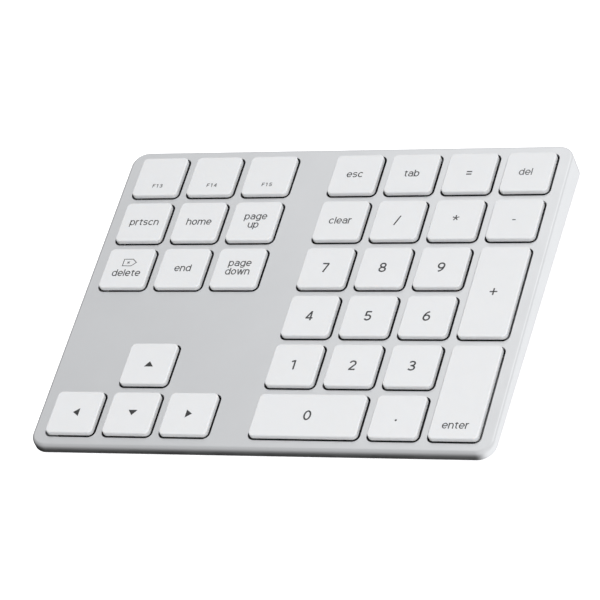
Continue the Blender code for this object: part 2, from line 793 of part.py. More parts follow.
def build_pairing_button(deck):
    """A round button with a flange behind the wall, and the small switch that it presses."""
    black = material("pairing_switch_plastic", (0.03, 0.03, 0.03), 0.5)
    grey = material("pairing_button_plastic", (0.62, 0.63, 0.65), 0.45)
    inner_face = REAR_FACE - CASE_WALL
    flange_front = inner_face - MOVING_GAP
    flange_back = flange_front - 2 * MOVING_GAP
    plunger_end = flange_back - PAIRING_TRAVEL - FIT_GAP
    body_front = plunger_end - 2 * MOVING_GAP
    body = rounded_outline(PAIRING_SWITCH_WIDTH, PAIRING_SWITCH_HEIGHT, 0.3 * MM, SMALL_STEPS)
    plunger = circle_outline(PAIRING_PLUNGER_RADIUS, SMALL_STEPS)
    centre = (PAIRING_X, REAR_CENTRE)
    rings = [
        upright_ring(body, body_front - PAIRING_SWITCH_DEPTH, centre),
        upright_ring(body, body_front, centre),
        upright_ring(plunger, body_front, centre),
        upright_ring(plunger, plunger_end, centre),
    ]
    piece("pairing_switch", lofted(rings), black, deck)
    cap = circle_outline(PAIRING_RADIUS, ROUND_STEPS)
    flange = circle_outline(PAIRING_FLANGE_RADIUS, ROUND_STEPS)
    rings = [
        upright_ring(flange, flange_back - REAR_FACE, (0.0, 0.0)),
        upright_ring(flange, flange_front - REAR_FACE, (0.0, 0.0)),
        upright_ring(cap, flange_front - REAR_FACE, (0.0, 0.0)),
        upright_ring(cap, -REAR_RECESS, (0.0, 0.0)),
    ]
    piece("pairing_button", lofted(rings), grey, deck, (PAIRING_X, REAR_FACE, REAR_CENTRE))


def build_ribbon_cable(deck):
    """A flat flexible cable from the membrane, through the plate's slot, to its connector on the board."""
    film = material("ribbon_film", (0.75, 0.52, 0.20), 0.35)
    start = Vector((RIBBON_SLOT_Y, MEMBRANE_TOP - 1.5 * SHEET_THICKNESS))
    end = Vector((
        ribbon_connector_y() - CONNECTOR_DEPTH / 2 - FIT_GAP,
        BOARD_TOP + CONNECTOR_HEIGHT / 2,
    ))
    straight_down = start + Vector((0.0, end.y - start.y))
    rings = []
    path_steps = 10
    for step in range(path_steps + 1):
        share = step / path_steps
        on_path = start * (1 - share) ** 2 + straight_down * 2 * share * (1 - share) + end * share**2
        heading = (straight_down - start) * (1 - share) + (end - straight_down) * share
        side = Vector((-heading.y, heading.x)).normalized() * RIBBON_THICKNESS / 2
        ring = []
        for x, sign in ((-1, -1), (1, -1), (1, 1), (-1, 1)):
            edge = on_path + side * sign
            ring.append(Vector((RIBBON_X + x * RIBBON_WIDTH / 2, edge.x, edge.y)))
        rings.append(ring)
    piece("ribbon_cable", lofted(rings), film, deck)


# Base cover and what lies flat on the table


def base_tray():
    """The cover as an open tray: floor, walls that stand inside the case's rim, and a chamfered edge."""
    outline = rounded_outline(
        CASE_WIDTH - 2 * BASE_INSET, CASE_DEPTH - 2 * BASE_INSET, CASE_CORNER - BASE_INSET, CASE_STEPS
    )
    return lofted([
        level_ring(outline, BASE_FLOOR, inset=BASE_WALL),
        level_ring(outline, BASE_WALL_TOP, inset=BASE_WALL),
        level_ring(outline, BASE_WALL_TOP),
        level_ring(outline, BASE_BOTTOM + BASE_CHAMFER),
        level_ring(outline, BASE_BOTTOM, inset=BASE_CHAMFER),
    ])


def foot_recesses():
    return lofted(*[
        upright_cylinder(place, FOOT_RADIUS + MOVING_GAP, 0.0, FOOT_RECESS_TOP, ROUND_STEPS)
        for place in foot_places().values()
    ])


def rear_notch():
    """Room in the tray's rear wall below the socket, the light, the switch and the button."""
    rear = CASE_DEPTH / 2
    socket_bottom = deck_height(rear) + REAR_CENTRE - USB_HEIGHT / 2
    return lofted(block(
        (USB_X - USB_WIDTH / 2 - 2 * MOVING_GAP, rear - 6.0 * MM, socket_bottom - 2 * MOVING_GAP),
        (PAIRING_X + PAIRING_SWITCH_WIDTH / 2 + 2 * MOVING_GAP, rear, BASE_WALL_TOP + MOVING_GAP),
    ))


def build_base_cover():
    plastic = material("base_cover_plastic", (0.60, 0.61, 0.62), 0.5)
    cover = piece("base_cover", base_tray(), plastic)
    pads = screw_columns(SCREW_PAD_RADIUS, BASE_FLOOR - BASE_CHAMFER / 2, SCREW_PAD_TOP)
    combine(cover, "UNION", helper("screw_pads", pads))
    combine(cover, "DIFFERENCE", helper("foot_recesses", foot_recesses()))
    holes = screw_columns(SCREW_HOLE_RADIUS, 0.0, SCREW_PAD_TOP + 1.0 * MM)
    combine(cover, "DIFFERENCE", helper("screw_holes", holes))
    counterbores = screw_columns(COUNTERBORE_RADIUS, 0.0, COUNTERBORE_TOP)
    combine(cover, "DIFFERENCE", helper("counterbores", counterbores))
    combine(cover, "DIFFERENCE", helper("rear_notch", rear_notch()))


def build_screws():
    """Flat-headed screws with a round drive socket, head down."""
    names = ("screw_front_left", "screw_rear_left", "screw_front_right", "screw_rear_right")
    head = circle_outline(SCREW_HEAD_RADIUS, ROUND_STEPS)
    shank = circle_outline(SCREW_RADIUS, ROUND_STEPS)
    socket = circle_outline(SCREW_SOCKET_RADIUS, ROUND_STEPS)
    for name, place in zip(names, screw_places()):
        rings = [
            level_ring(socket, SCREW_SOCKET_TOP),
            level_ring(socket, SCREW_BOTTOM),
            level_ring(head, SCREW_BOTTOM),
            level_ring(head, SCREW_HEAD_TOP),
            level_ring(shank, SCREW_HEAD_TOP),
            level_ring(shank, SCREW_TIP - SCREW_RADIUS / 2),
            level_ring(shank, SCREW_TIP, inset=SCREW_RADIUS / 2),
        ]
        steel = material(name + "_steel", (0.45, 0.45, 0.46), 0.3, 1.0)
        piece(name, lofted(rings), steel, location=(*place, 0.0))


def build_feet():
    for name, place in foot_places().items():
        outline = circle_outline(FOOT_RADIUS, ROUND_STEPS)
        rings = [
            level_ring(outline, 0.0, inset=FOOT_CHAMFER),
            level_ring(outline, FOOT_CHAMFER),
            level_ring(outline, FOOT_THICKNESS),
        ]
        rubber = material(name + "_rubber", (0.35, 0.36, 0.37), 0.8)
        piece(name, lofted(rings), rubber, location=(*place, 0.0))


def build_battery():
    foil = material("battery_foil", (0.55, 0.56, 0.58), 0.35)
    foam = material("foam_tape", (0.05, 0.05, 0.05), 0.9)
    cell = rounded_outline(BATTERY_WIDTH, BATTERY_DEPTH, 1.5 * MM, SMALL_STEPS)
    edge = 0.4 * MM
    rings = [
        level_ring(cell, BATTERY_BOTTOM, inset=edge),
        level_ring(cell, BATTERY_BOTTOM + edge),
        level_ring(cell, BATTERY_TOP - edge),
        level_ring(cell, BATTERY_TOP, inset=edge),
    ]
    place = (BATTERY_X, BATTERY_Y, 0.0)
    piece("battery_cell", lofted(rings), foil, location=place)
    pad = rounded_outline(
        BATTERY_WIDTH - 2 * PAD_INSET, BATTERY_DEPTH - 2 * PAD_INSET, 1.0 * MM, SMALL_STEPS
    )
    rings = [level_ring(pad, PAD_BOTTOM), level_ring(pad, PAD_TOP)]
    piece("battery_foam_pad", lofted(rings), foam, location=place)


def main():
    clear_scene()
    deck = bpy.data.objects.new("deck", None)
    bpy.context.scene.collection.objects.link(deck)
    deck.location = (0.0, DECK_Y, DECK_Z)
    deck.rotation_euler = (DECK_TILT, 0.0, 0.0)
    build_top_case(deck)
    build_keys(deck)
    build_sheets(deck)
    build_support_plate(deck)
    build_stabilisers(deck)
    build_board(deck)
    build_usb_port(deck)
    build_light_pipe(deck)
    build_power_switch(deck)
    build_pairing_button(deck)
    build_ribbon_cable(deck)
    build_base_cover()
    build_screws()
    build_feet()
    build_battery()


main()
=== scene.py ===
"""Looks of the slim numeric keypad: fine shells, keycaps with printed legends, materials, light and camera.

Lengths are in metres. Most pieces are made in the deck's frame, which the CAD model gives: the deck's face
is the local XY plane, local Y runs up its slope and local Z stands out of it. The base cover, its screws
and the feet lie flat on the table and are made in the world frame.
"""

import json
import math

import bmesh
import bpy
from mathutils import Matrix, Vector


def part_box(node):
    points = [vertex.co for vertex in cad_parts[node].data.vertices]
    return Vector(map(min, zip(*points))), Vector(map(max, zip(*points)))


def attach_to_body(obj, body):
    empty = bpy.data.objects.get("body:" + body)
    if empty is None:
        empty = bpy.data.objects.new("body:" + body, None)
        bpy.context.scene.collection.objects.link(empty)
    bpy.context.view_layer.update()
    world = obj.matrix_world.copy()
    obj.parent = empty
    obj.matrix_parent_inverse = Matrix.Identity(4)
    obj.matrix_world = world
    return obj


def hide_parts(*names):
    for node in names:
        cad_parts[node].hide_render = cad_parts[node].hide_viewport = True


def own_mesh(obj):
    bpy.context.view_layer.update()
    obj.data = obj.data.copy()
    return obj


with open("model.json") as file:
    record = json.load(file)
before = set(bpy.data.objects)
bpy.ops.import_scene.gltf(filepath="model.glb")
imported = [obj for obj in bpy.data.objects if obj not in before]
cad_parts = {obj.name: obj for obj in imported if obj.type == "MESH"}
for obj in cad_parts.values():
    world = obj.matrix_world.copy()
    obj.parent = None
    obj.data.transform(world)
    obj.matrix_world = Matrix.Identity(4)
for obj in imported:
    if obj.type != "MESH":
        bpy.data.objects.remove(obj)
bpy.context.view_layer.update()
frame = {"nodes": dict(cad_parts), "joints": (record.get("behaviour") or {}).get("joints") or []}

MM = 0.001
BASE_BODY = "housing"

# Case
CASE_CORNER = 5.3 * MM
CASE_WALL = 1.9 * MM
PANEL_THICKNESS = 1.2 * MM
SIDE_ROUNDING = 0.9 * MM
FRONT_INSET = 1.5 * MM
FRONT_DROP = 2.6 * MM
RIM_FRONT = 1.8 * MM
RIM_REAR = 1.0 * MM
RIM_ROUNDING = 0.15 * MM
OPENING_ROUNDING = 0.13 * MM
CUTTER_REACH = 1.0 * MM
FLARE_SHARE = 0.9
STAKE_RADIUS = 0.8 * MM
STAKE_END = -3.4 * MM
BOSS_RADIUS = 1.55 * MM
BOSS_BOTTOM = 2.45 * MM
SCREW_HOLE_RADIUS = 0.95 * MM
SCREW_BORE_TOP = 4.2 * MM

# Keys
KEY_CORNER = 1.6 * MM
KEY_GAP = 0.6 * MM
KEY_WALL = 0.9 * MM
KEY_CEILING = 0.45 * MM
KEY_FILLET = 0.4 * MM
KEY_SKIRT_EDGE = 0.12 * MM
KEY_INNER_FILLET = 0.3 * MM
PRESS_PAD_RADIUS = 1.8 * MM
PRESS_PAD_DEPTH = 0.12 * MM

# Printed legends
INK_HEIGHT = 0.01 * MM
INK_STEP = 0.001 * MM
LETTER_HEIGHT = 2.1 * MM
LETTER_NARROWING = 0.895
LETTER_GAP = 0.26 * MM
LETTER_STROKE = 0.34 * MM
NUMBER_HEIGHT = 3.59 * MM
NUMBER_STROKE = 0.53 * MM
SMALL_HEIGHT = 1.38 * MM
SMALL_WIDENING = 1.07
SMALL_GAP = 0.3 * MM
SMALL_STROKE = 0.27 * MM
SMALL_MIDDLE = -3.82 * MM
LINE_SPACING = 3.38 * MM
WORD_MIDDLE = -0.25 * MM
SIGN_STROKE = 0.46 * MM
THIN_SIGN_STROKE = 0.8 * SIGN_STROKE
ICON_STROKE = 0.24 * MM
LEFT_BLOCK_SHIFT = 0.38 * MM
LEGEND_DROP = 0.175 * MM

# Below the keys
DOME_SHEET_TOP = -2.3 * MM
SHEET_THICKNESS = 0.2 * MM
FRAME_BAR = 0.9 * MM
FRAME_THICKNESS = 0.45 * MM
FRAME_WIDTH, NARROW_FRAME_WIDTH = 10.0 * MM, 7.6 * MM
FRAME_DEPTH, NARROW_FRAME_DEPTH = 9.4 * MM, 7.4 * MM
FRAME_CORNER, FRAME_INNER_CORNER = 0.8 * MM, 0.4 * MM
FRAME_RISE = 1.9 * MM
FRAME_LIFT = 0.08 * MM
FRAME_GAP = 0.4 * MM
PIVOT_RADIUS = 0.18 * MM
PIVOT_INWARD, PIVOT_OUTWARD = 0.4 * MM, 0.6 * MM
CRADLE_OFFSET = 14.4 * MM
CRADLE_WINDOW_ALONG = 1.2 * MM
CRADLE_WINDOW_ACROSS = 2.8 * MM
DOME_SHEET_CORNER = 2.0 * MM
STAKE_HOLE_RADIUS = 1.1 * MM

# Base cover, feet and screws
BASE_BOTTOM = 0.6 * MM
BASE_FLOOR = 1.4 * MM
BASE_WALL = 1.0 * MM
BASE_WALL_TOP = 3.2 * MM
BASE_ROUNDING = 0.4 * MM
BASE_CORNER = 3.1 * MM
FOOT_RECESS_GAP = 0.3 * MM
FOOT_RECESS_TOP = 0.95 * MM
FOOT_ROUNDING = 0.25 * MM
FOOT_FLAT_EDGE = 0.6 * MM
COUNTERBORE_RADIUS = 1.7 * MM
COUNTERBORE_TOP = 1.35 * MM
SCREW_PAD_RADIUS = 2.1 * MM
SCREW_PAD_TOP = 2.2 * MM
RECESS_FLARE = 0.15 * MM
SCREW_HEAD_RADIUS = 1.4 * MM
SCREW_HEAD_TOP = 1.2 * MM
SCREW_HEAD_EDGE = 0.12 * MM
SCREW_SHANK_RADIUS = 0.8 * MM
SCREW_TIP_INSET = 0.4 * MM
THREAD_PITCH = 0.4 * MM
THREAD_DEPTH = 0.15 * MM
THREAD_CREST = (0.45, 0.55)
THREAD_START, THREAD_END = 0.5 * MM, 0.3 * MM
SOCKET_RADIUS = 0.65 * MM
SOCKET_DEPTH = 0.3 * MM
SOCKET_TAPER = 0.03 * MM
LOBE_DEPTH = 0.14 * MM
SCREW_LOBES = 6
SCREW_STEPS = 48

# Rear fittings and the board
FIT_GAP = 0.15 * MM
MOVING_GAP = 0.3 * MM
OPENING_FLARE = 0.12 * MM
USB_WALL = 0.32 * MM
USB_DEPTH = 6.0 * MM
USB_LIP = 0.1 * MM
USB_TONGUE_WIDTH = 6.7 * MM
USB_TONGUE_HALF_HEIGHT = 0.35 * MM
USB_TONGUE_LENGTH = 4.4 * MM
CONTACTS_IN_ROW = 12
CONTACT_PITCH = 0.5 * MM
CONTACT_HALF_WIDTH = 0.13 * MM
LED_RADIUS = 0.7 * MM
LED_FLANGE_RADIUS = 1.1 * MM
PAIRING_RADIUS = 1.3 * MM
PAIRING_DISH_RADIUS = 0.9 * MM
PAIRING_DISH_DEPTH = 0.12 * MM
SWITCH_NUB_WIDTH = 3.0 * MM
SWITCH_NUB_HEIGHT = 1.6 * MM
SWITCH_NUB_LENGTH = 2.65 * MM
SWITCH_TRAVEL = 2.0 * MM
RIDGE_PITCH = 0.48 * MM
BOARD_TOP = -6.7 * MM
SOLDER_DEPTH = 0.05 * MM
# Chips on the board in millimetres: place from the board's middle, then width, depth and height
CHIPS = ((-11.0, 0.0, 5.0, 5.0, 0.9), (19.5, -1.0, 8.0, 6.0, 1.6), (37.5, 0.0, 3.0, 3.0, 0.7))

# Camera
LOOK_AT = Vector((-0.54, -1.95, 0.0)) * MM
CAMERA_DISTANCE = 1117.24 * MM
CAMERA_AZIMUTH = math.radians(32.64)
CAMERA_ELEVATION = math.radians(43.19)
CAMERA_ROLL = math.radians(23.64)
CAMERA_LENS = 219.88

# Room: how strongly sky and ground shine on their dark and bright sides, and which way is the bright side
SKY_DARK = 0.47
SKY_BRIGHT = 0.885
GROUND_DARK = 0.005
GROUND_BRIGHT = 1.12
BRIGHT_SIDE = (0.98, 0.20, 0.0)
# Over which part of the bright side's direction, from -1 to 1, sky and ground change, and where they meet
SKY_CHANGE = (-0.75, 0.05)
GROUND_CHANGE = (-0.5, 0.5)
HORIZON = (-0.48, 0.44)
ROOM_COLOUR = (0.98, 0.99, 1.0, 1.0)

# Softboxes: name, place, width, depth, power in watts, and whether the pieces reflect it
SOFTBOXES = (
    ("overhead", (0.35, -0.35, 1.1), 1.2, 1.2, 3.25, False),
    ("front_fill", (0.35, -0.8, 0.55), 0.6, 0.4, 1.9, False),
    ("back", (0.05, 0.45, 0.55), 0.6, 0.4, 0.25, True),
)
FLOOR_HALF = 6.0

# How finely round shapes are divided: steps in each quarter turn
CASE_STEPS = 16
KEY_STEPS = 8
ROUND_STEPS = 8


# The deck's frame


def deck_matrix():
    """The keys' press direction gives the deck's lean, and the case's walls give its middle."""
    press = next(joint for joint in frame["joints"] if joint["name"] == "key_0_press")
    normal = -Vector(press["axis"]).normalized()
    across = Vector((1.0, 0.0, 0.0))
    up_slope = normal.cross(across)
    places = [vertex.co for vertex in frame["nodes"]["top_case"].data.vertices]
    slopes = [place.dot(up_slope) for place in places]
    height = max(place.dot(normal) for place in places)
    matrix = Matrix((across, up_slope, normal)).transposed().to_4x4()
    matrix.translation = up_slope * (min(slopes) + max(slopes)) / 2 + normal * height
    return matrix


DECK = deck_matrix()
FLAT = Matrix.Identity(4)


def deck_place(x, y, z=0.0):
    """A frame on the deck, moved to a point of the deck's frame."""
    return DECK @ Matrix.Translation((x, y, z))


def deck_box(node):
    """A CAD node's lowest and highest corner in the deck's frame."""
    to_deck = DECK.inverted()
    places = [to_deck @ vertex.co for vertex in frame["nodes"][node].data.vertices]
    low = Vector([min(place[axis] for place in places) for axis in range(3)])
    high = Vector([max(place[axis] for place in places) for axis in range(3)])
    return low, high


def fitting_box(node):
    """A rear fitting's middle (x, z) and its width and height at the wall, in the deck's frame."""
    low, high = deck_box(node)
    return ((low.x + high.x) / 2, (low.z + high.z) / 2), high.x - low.x, high.z - low.z


CASE_LOW, CASE_HIGH = deck_box("top_case")
CASE_WIDTH = CASE_HIGH.x - CASE_LOW.x
CASE_DEPTH = CASE_HIGH.y - CASE_LOW.y
REAR_FACE = CASE_HIGH.y
KEY_BOXES = {name: deck_box(name) for name in frame["nodes"] if name.startswith("key_")}
SCREWS = [name for name in frame["nodes"] if name.startswith("screw_")]
FEET = [name for name in frame["nodes"] if name.startswith("foot_")]
SWITCH_CENTRE = fitting_box("power_switch_housing")[0]
USB_CENTRE, USB_WIDTH, USB_HEIGHT = fitting_box("usb_c_port")
LED_CENTRE = fitting_box("led_light_pipe")[0]
PAIRING_CENTRE = fitting_box("pairing_button")[0]


def key_middle(name):
    low, high = KEY_BOXES[name]
    return (low + high) / 2


def key_size(name):
    low, high = KEY_BOXES[name]
    return high.x - low.x, high.y - low.y


def node_middle(node):
    low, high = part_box(node)
    return (low + high) / 2


# Outlines and lofts


def rounded_outline(width, depth, radius, steps):
    """Points anticlockwise round a rounded rectangle, each with its outward direction."""
    outline = []
    for quarter, (side_x, side_y) in enumerate(((1, 1), (-1, 1), (-1, -1), (1, -1))):
        centre = Vector((side_x * (width / 2 - radius), side_y * (depth / 2 - radius)))
        for step in range(steps + 1):
            angle = (quarter + step / steps) * math.pi / 2
            outward = Vector((math.cos(angle), math.sin(angle)))
            outline.append((centre + outward * radius, outward))
    return outline


def circle_outline(radius, steps=ROUND_STEPS):
    return rounded_outline(2 * radius, 2 * radius, radius, steps)


def level_ring(outline, z, inset=0.0, centre=(0.0, 0.0)):
    """The outline lying flat at height z, drawn in by inset."""
    return [
        Vector((centre[0] + point.x - outward.x * inset, centre[1] + point.y - outward.y * inset, z))
        for point, outward in outline
    ]


def upright_ring(outline, y, centre, inset=0.0):
    """The outline standing across the Y axis, with centre as its (x, z)."""
    return [
        Vector((centre[0] + point.x - outward.x * inset, y, centre[1] + point.y - outward.y * inset))
        for point, outward in outline
    ]


def stacked(outline, profile, centre=(0.0, 0.0)):
    """Level rings of one outline through (inset, height) pairs."""
    return [level_ring(outline, z, inset, centre) for inset, z in profile]


def stacked_upright(outline, profile, centre):
    """Upright rings of one outline through (inset, y) pairs."""
    return [upright_ring(outline, y, centre, inset) for inset, y in profile]


def fillet(radius, steps):
    """(inset, drop) pairs round a convex edge, from its side to its top."""
    turns = [step / steps * math.pi / 2 for step in range(steps + 1)]
    return [(radius * (1 - math.cos(turn)), radius * (1 - math.sin(turn))) for turn in turns]


def add_loft(mesh, rings, closed=False):
    """One body through rings of equal length: flat at both ends, or closed on itself like a frame."""
    loops = [[mesh.verts.new(point) for point in ring] for ring in rings]
    pairs = list(zip(loops, loops[1:]))
    if closed:
        pairs.append((loops[-1], loops[0]))
    for first, second in pairs:
        for here in range(len(first)):
            after = (here + 1) % len(first)
            mesh.faces.new((first[here], first[after], second[after], second[here]))
    if not closed:
        mesh.faces.new(list(reversed(loops[0])))
        mesh.faces.new(loops[-1])


def lofted(*bodies, closed=False):
    """A mesh of one or more lofts."""
    mesh = bmesh.new()
    for rings in bodies:
        add_loft(mesh, rings, closed)
    return mesh


def turned(profile, centre=(0.0, 0.0), steps=ROUND_STEPS):
    """Rings of a round body from its (radius, height) profile."""
    return [level_ring(circle_outline(radius, steps), z, centre=centre) for radius, z in profile]


def turned_upright(profile, centre, steps=ROUND_STEPS):
    """Rings of a round body that points along Y, from its (radius, y) profile."""
    return [upright_ring(circle_outline(radius, steps), y, centre) for radius, y in profile]


def block(low, high):
    """Rings of a plain block between two corners."""
    corners = ((high[0], high[1]), (low[0], high[1]), (low[0], low[1]), (high[0], low[1]))
    return [[Vector((x, y, z)) for x, y in corners] for z in (low[2], high[2])]


def chip(low, high, edge):
    """Rings of a block whose upper edge is bevelled."""
    width = high[0] - low[0]
    depth = high[1] - low[1]
    outline = rounded_outline(width, depth, edge, 3)
    centre = ((low[0] + high[0]) / 2, (low[1] + high[1]) / 2)
    return stacked(outline, ((0.0, low[2]), (0.0, high[2] - edge), (edge, high[2])), centre)


# Objects


def new_object(name, mesh, place=FLAT, sharp_angle=35.0):
    """Turns a bmesh into an object with outward faces and smooth rounded edges."""
    bmesh.ops.remove_doubles(mesh, verts=mesh.verts, dist=1e-7)
    bmesh.ops.recalc_face_normals(mesh, faces=mesh.faces)
    mesh.transform(place)
    data = bpy.data.meshes.new(name)
    mesh.to_mesh(data)
    mesh.free()
    data.shade_smooth()
    data.set_sharp_from_angle(angle=math.radians(sharp_angle))
    made = bpy.data.objects.new(name, data)
    bpy.context.scene.collection.objects.link(made)
    return made


def weigh_normals(made):
    """Keeps large flat faces flat beside their rounded edges."""
    step = made.modifiers.new("weighted_normals", "WEIGHTED_NORMAL")
    step.mode = "FACE_AREA"
    step.weight = 100
    step.keep_sharp = True


def attach(made, finish, body, stands_for):
    """Gives an object its material and its body, and hides the CAD nodes that it stands for."""
    made.data.materials.clear()
    made.data.materials.append(finish)
    weigh_normals(made)
    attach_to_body(made, body)
    if stands_for:
        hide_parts(*stands_for)
    return made


def piece(name, mesh, finish, body=BASE_BODY, place=DECK, stands_for=()):
    """A new visible piece from a bmesh."""
    return attach(new_object(name, mesh, place), finish, body, stands_for)


def carve(target, *steps):
    """Applies Booleans to an object, each an operation with the bmesh it uses and that mesh's place."""
    tools = []
    for operation, mesh, place in steps:
        tool = new_object("tool", mesh, place)
        tools.append(tool)
        step = target.modifiers.new("cut", "BOOLEAN")
        step.operation = operation
        step.solver = "EXACT"
        step.object = tool
    bpy.context.view_layer.update()
    depsgraph = bpy.context.evaluated_depsgraph_get()
    final = bpy.data.meshes.new_from_object(target.evaluated_get(depsgraph))
    target.modifiers.clear()
    target.data = final
    for tool in tools:
        bpy.data.objects.remove(tool, do_unlink=True)
    final.shade_smooth()
    final.set_sharp_from_angle(angle=math.radians(35.0))
    return target


# Materials


class Finish:
    """A Principled material whose colour, roughness and bump come from procedural textures."""

    def __init__(self, name, colour, roughness, metallic=0.0):
        self.material = bpy.data.materials.new(name)
        self.material.use_nodes = True
        self.tree = self.material.node_tree
        self.shader = self.tree.nodes["Principled BSDF"]
        self.colour = colour
        self.set("Base Color", (*colour, 1.0))
        self.set("Roughness", roughness)
        self.set("Metallic", metallic)
        self.last_bump = None

    def set(self, socket, value):
        self.shader.inputs[socket].default_value = value
        return self

    def node(self, kind, **inputs):
        made = self.tree.nodes.new(kind)
        for name, value in inputs.items():
            made.inputs[name].default_value = value
        return made

    def link(self, output, made, socket):
        self.tree.links.new(output, made.inputs[socket])

    def place(self, stretch=(1.0, 1.0, 1.0)):
        """The piece's own coordinates, multiplied by stretch."""
        coordinates = self.tree.nodes.new("ShaderNodeTexCoord")
        mapping = self.node("ShaderNodeMapping", Scale=stretch)
        self.link(coordinates.outputs["Object"], mapping, "Vector")
        return mapping.outputs["Vector"]

    def noise(self, size, detail=2.0, stretch=(1.0, 1.0, 1.0)):
        """Noise with features about size across."""
        made = self.node("ShaderNodeTexNoise", Scale=1.0 / size, Detail=detail)
        self.link(self.place(stretch), made, "Vector")
        return made.outputs["Fac"]

    def cells(self, size, feature="F1"):
        """Distance inside cells about size across."""
        made = self.node("ShaderNodeTexVoronoi", Scale=1.0 / size)
        made.feature = feature
        self.link(self.place(), made, "Vector")
        return made.outputs["Distance"]

    def ramp(self, factor, *stops):
        """A colour ramp through (position, colour) stops."""
        made = self.tree.nodes.new("ShaderNodeValToRGB")
        elements = made.color_ramp.elements
        elements[0].position, elements[0].color = stops[0][0], (*stops[0][1], 1.0)
        elements[1].position, elements[1].color = stops[-1][0], (*stops[-1][1], 1.0)
        for position, colour in stops[1:-1]:
            elements.new(position).color = (*colour, 1.0)
        self.link(factor, made, "Fac")
        return made.outputs["Color"]

    def tint(self, size, amount, detail=3.0, stretch=(1.0, 1.0, 1.0)):
        """Lets the colour drift lighter and darker by amount."""
        dark = tuple(channel * (1 - amount) for channel in self.colour)
        light = tuple(min(1.0, channel * (1 + amount)) for channel in self.colour)
        drift = self.ramp(self.noise(size, detail, stretch), (0.3, dark), (0.7, light))
        self.link(drift, self.shader, "Base Color")
        return self

    def polish(self, size, low, high, detail=3.0, stretch=(1.0, 1.0, 1.0)):
        """Lets the roughness drift between low and high."""
        spread = self.tree.nodes.new("ShaderNodeMapRange")
        spread.inputs["From Min"].default_value = 0.3
        spread.inputs["From Max"].default_value = 0.7
        spread.inputs["To Min"].default_value = low
        spread.inputs["To Max"].default_value = high
        self.link(self.noise(size, detail, stretch), spread, "Value")
        self.link(spread.outputs["Result"], self.shader, "Roughness")
        return self

    def bump(self, height, depth):
        """Adds a relief of that depth on top of any earlier one."""
        made = self.node("ShaderNodeBump", Distance=depth, Strength=1.0)
        self.link(height, made, "Height")
        if self.last_bump:
            self.link(self.last_bump, made, "Normal")
        self.last_bump = made.outputs["Normal"]
        self.link(self.last_bump, self.shader, "Normal")
        return self

    def grain(self, size, depth, detail=2.0, stretch=(1.0, 1.0, 1.0)):
        return self.bump(self.noise(size, detail, stretch), depth)


def aluminium():
    """Fine bead-blasted and anodised, so its grain is just visible close up."""
    made = Finish("blasted_aluminium", (0.80, 0.805, 0.815), 0.35, 1.0)
    made.tint(14.0 * MM, 0.012).polish(9.0 * MM, 0.33, 0.38)
    made.grain(0.16 * MM, 0.0022 * MM, 3.0).grain(0.05 * MM, 0.0008 * MM)
    return made.material


def keycap_plastic():
    """White satin ABS with a fine moulded grain, and a roughness that drifts a little."""
    made = Finish("keycap_plastic", (0.79, 0.793, 0.80), 0.4)
    made.tint(6.0 * MM, 0.006).polish(5.0 * MM, 0.36, 0.46)
    made.grain(0.12 * MM, 0.0015 * MM, 3.0)
    made.set("Subsurface Weight", 0.25).set("Subsurface Radius", (0.6, 0.55, 0.5))
    made.set("Subsurface Scale", 0.6 * MM).set("IOR", 1.5)
    return made.material


def ink(name, shade):
    """Grey ink, slightly uneven like a pad print."""
    made = Finish(name, (shade, shade, shade * 1.04), 0.5)
    made.tint(0.5 * MM, 0.12).grain(0.1 * MM, 0.001 * MM)
    return made.material


def moulded_plastic(name, colour, roughness, spark):
    """Plastic from a spark-eroded mould: rounded bumps of the given size."""
    made = Finish(name, colour, roughness)
    made.tint(8.0 * MM, 0.02).polish(3.0 * MM, roughness - 0.05, roughness + 0.06)
    made.bump(made.cells(spark, "SMOOTH_F1"), spark * 0.06).grain(spark * 0.5, spark * 0.03)
    return made.material


def rubber(name, colour):
    made = Finish(name, colour, 0.75)
    made.tint(2.0 * MM, 0.06).polish(1.5 * MM, 0.68, 0.85).grain(0.15 * MM, 0.006 * MM, 4.0)
    return made.material


def steel(name, colour, roughness, brush=(1.0, 1.0, 1.0)):
    """Plated steel with faint marks; brush stretches them along one direction."""
    made = Finish(name, colour, roughness, 1.0)
    made.tint(3.0 * MM, 0.04, stretch=brush)
    made.polish(0.6 * MM, roughness - 0.06, roughness + 0.08, stretch=brush)
    made.grain(0.12 * MM, 0.001 * MM, stretch=brush)
    return made.material


def printed_film():
    """Black membrane film with silver conductor traces showing faintly."""
    made = Finish("membrane_film", (0.012, 0.012, 0.013), 0.35)
    traces = made.ramp(
        made.cells(5.0 * MM, "DISTANCE_TO_EDGE"),
        (0.03, (0.05, 0.05, 0.052)),
        (0.05, (0.012, 0.012, 0.013)),
    )
    made.link(traces, made.shader, "Base Color")
    made.polish(2.0 * MM, 0.3, 0.42)
    return made.material


def solder_mask():
    """Green board: darker lines where copper runs below the mask."""
    made = Finish("solder_mask", (0.02, 0.13, 0.06), 0.35)
    tracks = made.ramp(
        made.cells(1.4 * MM, "DISTANCE_TO_EDGE"),
        (0.06, (0.03, 0.20, 0.09)),
        (0.10, (0.015, 0.11, 0.05)),
    )
    made.link(tracks, made.shader, "Base Color")
    made.polish(2.0 * MM, 0.28, 0.4).grain(0.4 * MM, 0.004 * MM)
    made.set("Coat Weight", 0.3).set("Coat Roughness", 0.15)
    return made.material


def clear_acrylic():
    made = Finish("clear_acrylic", (0.9, 0.92, 0.93), 0.12)
    made.polish(0.8 * MM, 0.08, 0.2)
    made.set("Transmission Weight", 0.85).set("IOR", 1.49)
    return made.material


def foil():
    """Crinkled aluminised pouch."""
    made = Finish("battery_foil", (0.6, 0.61, 0.63), 0.3, 0.8)
    made.tint(4.0 * MM, 0.05).polish(2.0 * MM, 0.24, 0.4).grain(2.5 * MM, 0.08 * MM, 4.0)
    return made.material


